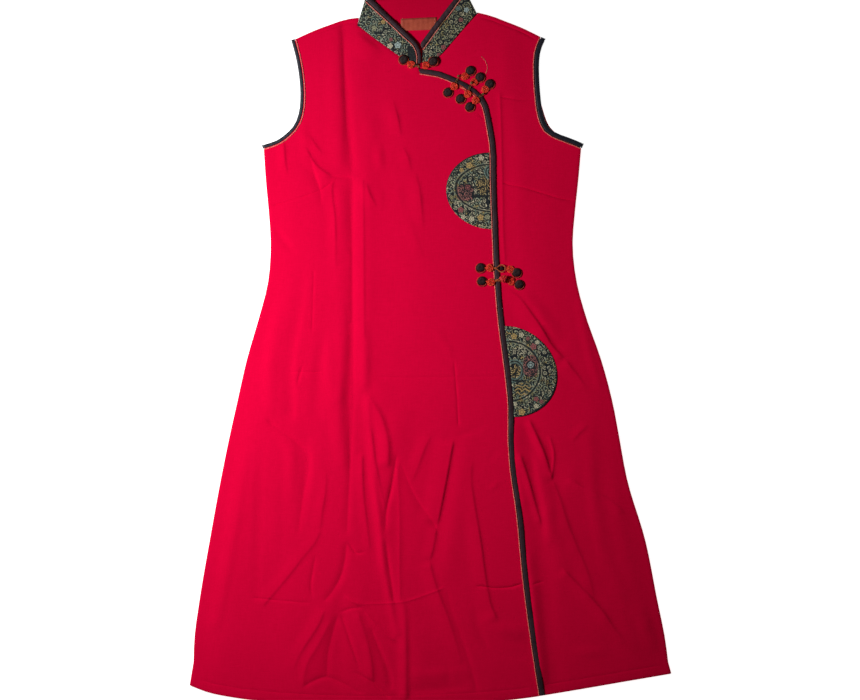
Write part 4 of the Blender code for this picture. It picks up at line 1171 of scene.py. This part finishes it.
def hem_stitches(outline):
    """The line of stitches a little above a panel's hem, from the outline's own lower edge."""
    xs = np.linspace(outline[:, 0].min() + 12 * MM, outline[:, 0].max() - 12 * MM, 24)
    closed = np.vstack([outline, outline[:1]])[:, :2]
    dense = spaced(closed, 2 * MM)
    table = []
    for x in xs:
        near = dense[np.abs(dense[:, 0] - x) < 3 * MM]
        if near[:, 1].min() < -440 * MM:
            table.append((x / MM, near[:, 1].min() / MM + HEM_STITCHES))
    return ("hem stitches", tuple(table), 1.2, HEM_LINE_HEIGHT)


def flat_area(outline):
    x, y = outline[:, 0], outline[:, 1]
    return abs((x * np.roll(y, -1) - np.roll(x, -1) * y).sum()) / 2


def declare(outline):
    """Works out the flat area of a piece of cloth from its outline, which is not kept."""
    float(flat_area(outline))


def declare_strip(width, length):
    """Works out the flat area of what shows of a narrow folded binding, which is not kept."""
    float(width * length)


# Strips
def strip(name, near, far, base_near, base_far, rise, material, slot, nodes, seed, undercut=0.0, closed=False):
    """A rounded binding between two lines, with slight puckers along it."""
    count = len(near)
    along = arc_lengths(near)
    across = far - near
    width = np.linalg.norm(across, axis=1, keepdims=True)
    across = across / width
    pucker = 1 + 0.10 * waves(along, (0.0067, 0.0113, 0.029), seed)[:, None]
    angles = np.linspace(math.pi, 0.0, 13)
    top = [(0.5 + 0.5 * math.copysign(abs(math.cos(a)) ** 0.55, math.cos(a)), math.sin(a) ** 0.7) for a in angles]
    profile = top + [(0.9, -undercut), (0.1, -undercut)]
    rings = []
    for share, lift in profile:
        base = base_near + (base_far - base_near) * share
        flat = near + across * width * share
        ripple = 1 + (pucker[:, 0] - 1) * (0.6 + 0.8 * share)
        rings.append(np.column_stack([flat, base + max(lift, 0.0) * rise * ripple + min(lift, 0.0)]))
    rings = np.stack(rings, axis=1)[:, ::-1]
    if not closed:
        # Both ends are drawn in a little, so that they look folded under
        for k, squeeze in ((0, 0.55), (count - 1, 0.55)):
            middle = rings[k].mean(0)
            rings[k] = middle + (rings[k] - middle) * squeeze
    return skin(rings, closed)


def add_placket(over, under):
    low_x, high_x = long_sides(outlines("placket_binding", 1, 0.5)[0], 1.6 * MM)
    near, far = low_x[:, :2], high_x[:, :2]
    wobble = waves(arc_lengths(near), (0.043, 0.071, 0.13), 3.0)[:, None] * 0.25 * MM
    far = far + wobble * np.array([1.0, 0.3])
    base = under.top((near + far) / 2) + 0.2 * MM
    if near[0, 1] < near[-1, 1]:
        near, far, base = near[::-1], far[::-1], base[::-1]
    # The binding narrows to a tip beneath the collar's closure
    middle, half = (near[0] + far[0]) / 2, (far[0] - near[0]) / 2
    beyond = middle - (near[1] + far[1]) / 2
    beyond = beyond / np.linalg.norm(beyond)
    for reach, width in ((1.2, 0.85), (2.4, 0.6), (3.4, 0.3)):
        spot = middle + (beyond * reach + np.array([0.0, 0.25]) * reach) * MM
        near, far = np.vstack([spot - half * width, near]), np.vstack([spot + half * width, far])
        base = np.concatenate([base[:1], base])
    shape = Shape()
    points, faces = strip("placket", near, far, base + 0.7 * MM, base, BINDING_RISE, SATIN, "dark_satin", (), 1.0)
    shape.add(points, faces)
    piece = shape.made("satin_placket", [SATIN], "dark_satin", ["placket_binding"])
    length = arc_lengths(near)[-1]
    declare_strip(8.6 * MM, length)
    shape = Shape()
    middle = sum(long_sides(outlines("placket_piping", 1, 0.5)[0], 0.8 * MM))[:, :2] / 2
    add_piping(shape, middle, over.top(middle) + PIPING_RADIUS * 0.8, 0.2)
    shape.made("piping_placket", [PIPING], "coral_cord", ["placket_piping"])


def add_piping(shape, middle, height, seed, finish=0):
    """A twisted cord sewn along a seam, a little uneven."""
    along = arc_lengths(middle)
    line = moved_aside(middle, 0.12 * MM * waves(along, (0.019, 0.037), seed))
    path = np.column_stack([line, height])
    shape.add(*tube(path, PIPING_RADIUS, 8, plies=2, lay=PIPING_LAY, depth=0.16), finish)


def add_armholes(over, under):
    for side, panel, turn in (("left", over, -1), ("right", under, 1)):
        node = f"armhole_binding_{side}"
        front = long_sides(outlines(node, 1, 0.995)[0], 1.6 * MM)
        back = long_sides(outlines(node, -1, 0.995)[0], 1.6 * MM)
        if turn < 0:
            front, back = front[::-1], back[::-1]
        near, far = (line[:, :2] for line in front)
        count = len(near)
        back_near, back_far = (resampled(line[:, :2], count) for line in back)
        low = 1.5 * MM
        points, faces = strip(
            node, near, far, np.full(count, low + 0.35 * MM), np.full(count, low), BINDING_RISE,
            NAVY, "dark_satin", (), 4.0 + turn,
        )
        shape = Shape().add(points, faces)
        points, faces = strip(
            node, back_near, back_far, np.full(count, 0.0), np.full(count, 0.0), CLOTH * 1.3,
            NAVY, "dark_satin", (), 6.0 + turn,
        )
        shape.add(points, faces)
        for k in (0, count - 1):
            shape.add(*armhole_end(near, far, back_near, back_far, k))
        piece = shape.made(f"satin_armhole_{side}", [NAVY], "dark_satin", [node])
        whole = 2 * arc_lengths(near)[-1]
        width = 6.3 if side == "left" else 7.6
        declare_strip(width * MM, whole)
        shape = Shape()
        middle = sum(long_sides(outlines(f"armhole_piping_{side}", 1, 0.5)[0], 0.8 * MM))[:, :2] / 2
        add_piping(shape, middle, panel.top(middle) + PIPING_RADIUS * 0.8, 1.2 + turn)
        shape.made(f"piping_armhole_{side}", [PIPING], "coral_cord", [f"armhole_piping_{side}"])


def armhole_end(near, far, back_near, back_far, k):
    """Where a binding turns over the edge, from the front to the back, at one end of the armhole."""
    step = 1 if k else -1
    beyond = near[k] - near[k - step]
    beyond = beyond / np.linalg.norm(beyond)
    rings = []
    for t in np.linspace(0.0, 1.0, 7):
        angle = math.pi * (0.5 - t)
        reach = 1.5 * MM * math.cos(angle)
        middle = 1.55 * MM + 1.2 * MM * math.sin(angle)
        one = near[k] * (1 - t) + back_near[k] * t + beyond * (reach - 0.4 * MM)
        other = far[k] * (1 - t) + back_far[k] * t + beyond * (reach - 0.4 * MM)
        ring = []
        for share in np.linspace(0, 1, 5):
            spot = one + (other - one) * share
            ring.append((*(spot + beyond * 0.45 * MM * math.cos(angle)), middle + 0.45 * MM * math.sin(angle)))
        for share in np.linspace(1, 0, 5):
            spot = one + (other - one) * share
            ring.append((*(spot - beyond * 0.45 * MM * math.cos(angle)), middle - 0.45 * MM * math.sin(angle)))
        rings.append(ring)
    return skin(np.array(rings))


# Collar
def collar_lines(node, step):
    """Neck and top lines of the collar's front left, front right and back bands, from one of its nodes."""
    fronts = sorted(outlines(node, 1, 0.995), key=lambda line: -line[:, 2].mean())[:2]
    fronts = sorted(fronts, key=lambda line: line[:, 0].mean())
    behind = outlines(node, -1, 0.995)
    behind = min(behind, key=lambda line: line[:, 2].mean())
    bands = []
    for outline in (*fronts, behind):
        two = long_sides(outline, step)
        bands.append([side[:, :2] for side in sorted(two, key=lambda side: side[:, 1].mean())])
    return bands


def add_band(shape, near, far, low, high, crown, seed, closed_ends=True):
    """A flat band of cloth between two lines, a little crowned and wavy, with rounded edges."""
    count = len(near)
    along = arc_lengths(near)
    shares = np.concatenate([[0.0], np.linspace(0.02, 0.98, 17), [1.0]])
    wave = waves(along, (0.021, 0.034, 0.055), seed)
    top, bottom = [], []
    for share in shares:
        lift = crown * math.sin(math.pi * share) * (1 + 0.5 * wave)
        edge = 0.5 if share in (0.0, 1.0) else 0.0
        flat = near + (far - near) * share
        thickness = high - low
        top.append(np.column_stack([flat, np.full(count, high) + lift - thickness * edge * 0.6]))
        bottom.append(np.column_stack([flat, np.full(count, low) + lift + thickness * edge * 0.3]))
    rings = np.stack(top + bottom[::-1], axis=1)
    shape.add(*skin(rings[:, ::-1]))


def side_fold(shape, near, far, away, centre, radius, thickness):
    """A fold of the collar at the side of the neck, from the front layer round to the back one."""
    along = (far - near) / np.linalg.norm(far - near)
    out = np.array([along[1], -along[0]]) * away
    rings = []
    for share in np.linspace(0.0, 1.0, 15):
        spot = near + (far - near) * share
        ring = []
        for t in np.linspace(0.0, 1.0, 9):
            angle = math.pi * (0.5 - t)
            ring.append((*(spot + out * radius * math.cos(angle)), centre + radius * math.sin(angle)))
        for t in np.linspace(1.0, 0.0, 9):
            angle = math.pi * (0.5 - t)
            inner = radius - thickness
            ring.append((*(spot + out * inner * math.cos(angle)), centre + inner * math.sin(angle)))
        rings.append(ring)
    shape.add(*skin(np.array(rings)))


def add_collar():
    """Outer layer, lining, binding and piping of the collar."""
    brocade = collar_brocade()
    middle = 2.6 * MM
    layers = (
        ("brocade_collar", "collar_shell", brocade, "brocade", 4.25, 0.0, 2.6, 0.5),
        ("lining_collar", "collar_lining", SHADED_LINING, "red_cloth", 2.95, 1.3, 1.25, 0.5),
    )
    for name, node, material, slot, front_low, back_low, radius, crown in layers:
        left, right, behind = collar_lines(node, 2.0 * MM)
        if node == "collar_lining":
            # At the back it reaches a little over the panel's edge and into the binding
            behind = [behind[0] - (0.0, 1.3 * MM), behind[1] + (0.0, 1.0 * MM)]
        shape = Shape()
        for k, band in enumerate((left, right)):
            add_band(shape, *band, front_low * MM, front_low * MM + COLLAR_CLOTH, crown * MM, 2.0 + k)
        add_band(shape, *behind, back_low * MM, back_low * MM + COLLAR_CLOTH, 0.05 * MM, 4.0)
        for band, away in ((left, -1), (right, 1)):
            side_fold(shape, band[0][0], band[1][0], away, middle, radius * MM, COLLAR_CLOTH)
        piece = shape.made(name, [material], slot, [node])
        area = sum(flat_area(np.vstack([a, b[::-1]])) for a, b in (left, right, behind))
        float(area * 1.02)
    add_collar_binding()


def add_collar_binding():
    left, right, behind = collar_lines("collar_binding", 1.6 * MM)
    shape = Shape()
    for k, (near, far) in enumerate((left, right)):
        count = len(near)
        base = np.full(count, 2.9 * MM)
        shape.add(*strip("front", near, far, base + 0.4 * MM, base, 2.75 * MM, SATIN, "", (), 8.0 + k))
    near, far = behind
    base = np.zeros(len(near))
    shape.add(*strip("back", near, far, base, base, 2.3 * MM, SATIN, "", (), 11.0))
    for (near, far), away in ((left, -1), (right, 1)):
        side_fold(shape, near[0], far[0], away, 2.9 * MM, 2.9 * MM, 2.6 * MM)
    piece = shape.made("satin_collar", [SATIN], "dark_satin", ["collar_binding"])
    for side in ("left", "right"):
        node = f"collar_piping_{side}"
        line = sum(long_sides(outlines(node, 1, 0.9)[0], 0.8 * MM))[:, :2] / 2
        shape = Shape()
        count = len(line)
        add_piping(shape, line, np.full(count, 5.95 * MM), 7.0)
        if side == "right":
            # The right end of the collar's piping is partly metal thread
            across = np.vstack(shape.points)[:, 0]
            shape.finishes = [int(abs(across[face[0]] - 17.0 * MM) < 5.0 * MM) for face in shape.faces]
        shape.made(f"piping_{node}", [PIPING, GOLD_CORD], "coral_cord", [node])


# Applied half medallions and the neck label
def add_medallions(over, under):
    for name, panel, rests_on in (
        ("medallion_upper", over, "cloth_front_panel_over"),
        ("medallion_lower", under, "cloth_front_panel_under"),
    ):
        outline = outlines(name, 1, 0.5)[0]
        material = medallion_brocade(name)
        edge = spaced(np.vstack([outline, outline[:1]])[:, :2], 1 * MM)
        tree = kdtree.KDTree(len(edge))
        for k, (x, y) in enumerate(edge):
            tree.insert((x, y, 0.0), k)
        tree.balance()

        def top(points, panel=panel, tree=tree):
            away_from_edge = np.array([tree.find((x, y, 0.0))[2] for x, y in points])
            roll = 0.35 * MM * np.exp(-(((away_from_edge - 1.6 * MM) / (1.0 * MM)) ** 2))
            return panel.top(points) + MEDALLION_CLOTH + 0.15 * MM + roll

        piece = add_cloth(f"brocade_{name}", outline, 1.5 * MM, top, MEDALLION_CLOTH, material, "brocade", name)
        declare(outline)


def add_label():
    outline = outlines("neck_label", 1, 0.9)[0]
    low, high = outline.min(0), outline.max(0)
    middle = (low + high) / 2

    def top(points):
        across = (points[:, 0] - middle[0]) / (high[0] - low[0]) * 2
        return 2.55 * MM + 0.5 * MM * (1 - across**2) + 0.08 * MM * np.sin(points[:, 0] * 900)

    piece = add_cloth("label_neck", outline, 1.3 * MM, top, 0.8 * MM, LABEL, "label_weave", "neck_label")
    declare(outline)
    shape = Shape()
    for x_share in (0.045, 0.955):
        for k in range(9):
            y = low[1] + (high[1] - low[1]) * (0.1 + 0.1 * k)
            x = low[0] + (high[0] - low[0]) * x_share
            path = [(x - 0.2 * MM, y, 2.6 * MM), (x, y + 0.3 * MM, 2.95 * MM), (x + 0.2 * MM, y + 0.9 * MM, 2.65 * MM)]
            shape.add(*tube(resampled(np.array(path), 5), 0.22 * MM, 6))
    shape.made("stitches_label", [PIPING], "label_weave")


# Frogs
def on_surface(panel, centre, radius):
    """Height of the cloth or trim beneath a round piece."""
    ring = [centre] + [
        centre + radius * np.array([math.cos(a), math.sin(a)]) for a in np.arange(8) * math.pi / 4
    ]
    return float(panel.top(np.array(ring)).max())


def add_button(shape, centre, base, seed):
    """A padded button of dark satin over a ring of dark red cord, which shows below it."""
    angle = np.linspace(0, 2 * math.pi, 57)[:-1]
    ring = np.stack([
        centre[0] + RING_RADIUS * np.cos(angle) - 0.3 * MM, centre[1] + RING_RADIUS * np.sin(angle) - 1.0 * MM,
        np.full(len(angle), base + 0.75 * MM),
    ], axis=1)
    shape.add(*tube(ring, 0.85 * MM, 8, closed=True, plies=2, lay=2.6 * MM), 4)
    profile = [(BUTTON_RADIUS * 0.96, 0.0)]
    for k in range(11):
        a = math.pi / 2 * k / 10
        radius = BUTTON_RADIUS * math.cos(a) ** 0.6 if k < 10 else 0.0
        height = BUTTON_HEIGHT * math.sin(a) ** 0.8
        if radius < BUTTON_RADIUS * 0.45:
            height -= 0.35 * MM * (1 - radius / (BUTTON_RADIUS * 0.45))
        profile.append((max(radius, 0.12 * MM), max(height, 0.3 * MM)))
    shape.add(*turned(profile, centre, base + 0.2 * MM, 32, 9 + seed % 3, 0.012), 0)


def add_coil(shape, centre, base, seed, turns=2.6):
    """A flat coil of coral cord, wound in from its rim and dimpled in the middle."""
    count = int(26 * turns)
    t = np.linspace(0.0, 1.0, count)
    angle = seed * 1.9 + t * turns * 2 * math.pi
    radius = (COIL_RADIUS - CORD_RADIUS) * (1 - t) + 0.35 * MM * t
    height = base + CORD_RADIUS + 0.9 * MM * np.sin(math.pi * np.clip(t * 1.1, 0, 1)) ** 0.8 * (1 - 0.35 * t)
    path = np.stack([centre[0] + radius * np.cos(angle), centre[1] + radius * np.sin(angle), height], axis=1)
    shape.add(*tube(path, 1.02 * MM, 8, plies=2, lay=2.2 * MM, depth=0.12), 1)
    foot = [(COIL_RADIUS * 0.85, 0.0), (COIL_RADIUS * 0.8, 0.9 * MM), (0.2 * MM, 1.1 * MM)]
    shape.add(*turned(foot, centre, base, 20), 1)
    # Four dark cords laid across the coil: painted shade for the grooves between its petals.
    for k in range(4):
        turn = seed * 0.7 + (k + 0.5) * math.pi / 2
        out = np.array([math.cos(turn), math.sin(turn)])
        path = [
            (*(centre + out * share * COIL_RADIUS), base + lift * MM)
            for share, lift in ((0.12, 1.9), (0.4, 2.65), (0.7, 2.3), (0.98, 0.8))
        ]
        shape.add(*tube(np.array(path), 0.32 * MM, 6), 4)


def add_knot(shape, centre, middle, radius, cord, finish, seed):
    """A button knot: one closed cord woven over a ball."""
    t = np.linspace(0, 2 * math.pi, 145)[:-1]
    longitude = 2 * t + seed
    latitude = 0.95 * np.sin(3 * t)
    lift = radius - cord * (0.75 - 0.35 * np.cos(6 * t + 0.4))
    path = np.stack([
        centre[0] + lift * np.cos(latitude) * np.cos(longitude),
        centre[1] + lift * np.cos(latitude) * np.sin(longitude),
        middle + lift * 0.8 * np.sin(latitude),
    ], axis=1)
    shape.add(*tube(path, cord, 8, closed=True, plies=2, lay=cord * 3.4), finish)
    core = []
    for k in range(9):
        a = math.pi * (k / 8 - 0.5)
        core.append((max(0.05 * MM, (radius - cord * 0.9) * math.cos(a)), (radius - cord * 0.9) * 0.85 * math.sin(a)))
    shape.add(*turned(core, centre, middle, 16), finish)


def add_cord(shape, points, finish=1, radius=CORD_RADIUS):
    """A thin cord through a few points in space."""
    line = np.array(points, float)
    padded = np.vstack([2 * line[0] - line[1], line, 2 * line[-1] - line[-2]])
    t = np.linspace(0, 1, 9)[:-1, None]
    pieces = []
    for a, b, c, d in zip(padded, padded[1:], padded[2:], padded[3:]):
        pieces.append(
            0.5 * (2 * b + (c - a) * t + (2 * a - 5 * b + 4 * c - d) * t**2 + (3 * b - a - 3 * c + d) * t**3)
        )
    path = spaced(np.vstack([*pieces, line[-1:]]), 0.5 * MM)
    shape.add(*tube(path, radius, 8, plies=2, lay=2.0 * MM), finish)


def add_frog(name, centres, over, under, seed):
    """The loop half and the knot half of one closure."""
    disc_a, coil_a, knot, coil_b, disc_b = metres(centres)
    if name == "collar":
        base_a = base_coil = base_b = 5.8 * MM
    else:
        base_a = on_surface(over, disc_a, BUTTON_RADIUS) + 0.2 * MM
        base_coil = max(on_surface(over, coil_a, COIL_RADIUS) + 1.2 * MM, base_a)
        base_b = max(
            on_surface(under, coil_b, COIL_RADIUS),
            on_surface(under, disc_b, BUTTON_RADIUS),
        ) + 0.2 * MM
    at_waist = name.startswith("waist")
    loop_height = max(base_coil, base_b + 1.7 * MM) + CORD_RADIUS
    ring = {"waist_upper": 5.1, "waist_lower": 4.0}.get(name, 1.5) * MM
    ball = {"waist_upper": 3.0, "waist_lower": 4.9}.get(name, 1.7) * MM
    loop = Shape()
    add_button(loop, disc_a, base_a, seed)
    add_coil(loop, coil_a, base_coil, seed)
    away = (knot - coil_a) / np.linalg.norm(knot - coil_a)
    aside = np.array([-away[1], away[0]])
    start, end = coil_a + away * COIL_RADIUS * 0.6, knot - away * ring * 0.4
    path = [(*(start + aside * 0.8 * MM), loop_height)]
    path.append((*((start + end) / 2 + aside * 0.85 * MM), loop_height))
    for angle in np.linspace(0.78, -0.78, 13) * math.pi:
        spot = knot + ring * (away * math.cos(angle) + aside * math.sin(angle))
        path.append((*spot, loop_height))
    path.append((*((start + end) / 2 - aside * 0.85 * MM), loop_height))
    path.append((*(start - aside * 0.8 * MM), loop_height))
    add_cord(loop, path, 2 if at_waist else 3, 0.8 * MM if at_waist else 0.45 * MM)
    add_cord(loop, [(*disc_a, base_a + 0.8 * MM), (*((disc_a + coil_a) / 2), base_coil + 0.8 * MM),
                    (*coil_a, base_coil + 0.8 * MM)], 1, 1.0 * MM)
    for a, b in LINKS.get(name, ()):
        line = metres((a, b))
        height = float(over.top(line).max()) + 0.6 * MM
        add_cord(loop, [(*spot, height) for spot in (line[0], line.mean(0) + 0.4 * MM, line[1])], 1, 0.45 * MM)
    loop.made(f"frog_loop_{name}", [BUTTON, CORAL, LOOP, GOLD_CORD, RIM], "coral_cord", [f"frog_{name}_loop"])
    half = Shape()
    add_button(half, disc_b, base_b, seed + 1)
    add_coil(half, coil_b, base_b, seed + 2)
    cord_height = base_b + 0.7 * MM
    add_cord(half, [(*disc_b, cord_height), (*((disc_b + coil_b) / 2), cord_height), (*coil_b, cord_height)], 1)
    add_cord(half, [(*coil_b, cord_height), (*((coil_b + knot) / 2), cord_height), (*knot, cord_height)], 1)
    if name == "waist_upper":
        height = loop_height
        finish = 0
    elif name == "waist_lower":
        height = loop_height + 2.6 * MM
        finish = 2
    else:
        height = loop_height + 0.9 * MM
        finish = 3
    add_cord(half, [(*knot, cord_height), (*knot, (cord_height + height) / 2), (*knot, height)], 1)
    add_knot(half, knot, height, ball, ball * 0.42, finish, seed)
    half.made(f"frog_knot_{name}", [BUTTON, CORAL, CRIMSON, GOLD_CORD, RIM], "coral_cord", [f"frog_{name}_knot"])


def add_loose_thread(under):
    """A thread end that lies on the cloth beside the upper closures."""
    line = metres(LOOSE_THREAD)
    heights = under.top(line) + 0.3 * MM
    shape = Shape()
    add_cord(shape, np.column_stack([line, heights]), 0, 0.36 * MM)
    shape.made("thread_loose", [PIPING], "coral_cord")


# The studio
def add_stage():
    floor = Shape()
    size = 3.0
    height = -0.05 * MM
    corners = [(-size, -size, height), (size, -size, height), (size, size, height), (-size, size, height)]
    mesh = bpy.data.meshes.new("floor")
    mesh.from_pydata(corners, [], [(0, 1, 2, 3)])
    paper = Finish("floor_paper", Roughness=0.9, Specular_IOR_Level=0.1, Emission_Strength=0.95)
    grain = paper.noise(30.0, 3.0)
    paper.colour(paper.ramp(grain, ((0.3, (0.8, 0.8, 0.8)), (0.7, (0.86, 0.86, 0.86)))))
    paper.shader.inputs["Emission Color"].default_value = (1.0, 1.0, 1.0, 1.0)
    mesh.materials.append(paper.material)
    piece = bpy.data.objects.new("floor", mesh)
    bpy.context.scene.collection.objects.link(piece)


def add_light(name, place, target, size, power):
    data = bpy.data.lights.new(name, "AREA")
    data.shape = "DISK"
    data.size = size
    data.energy = power
    lamp = bpy.data.objects.new(name, data)
    lamp.location = place
    lamp.rotation_euler = (Vector(target) - Vector(place)).to_track_quat("-Z", "Y").to_euler()
    bpy.context.scene.collection.objects.link(lamp)


def add_studio():
    add_stage()
    add_light("key", (-0.70, 0.15, 0.68), (0.1, 0.0, 0.0), 0.22, 10.5)
    world = bpy.data.worlds.new("studio")
    world.use_nodes = True
    background = world.node_tree.nodes["Background"]
    background.inputs["Color"].default_value = (1.0, 1.0, 1.0, 1.0)
    background.inputs["Strength"].default_value = 0.04
    scene = bpy.context.scene
    scene.world = world
    scene.view_settings.view_transform = "Standard"
    data = bpy.data.cameras.new("camera")
    data.sensor_width = SENSOR
    data.lens = SENSOR * CAMERA_HEIGHT / FRAME_WIDTH
    camera = bpy.data.objects.new("camera", data)
    camera.location = (*FRAME_CENTRE, CAMERA_HEIGHT)
    scene.collection.objects.link(camera)
    scene.camera = camera


def main():
    add_studio()
    over, under = add_panels()
    add_placket(over, under)
    add_armholes(over, under)
    add_collar()
    add_medallions(over, under)
    add_label()
    for seed, (name, centres) in enumerate(FROGS.items()):
        add_frog(name, centres, over, under, seed)
    add_loose_thread(under)


main()
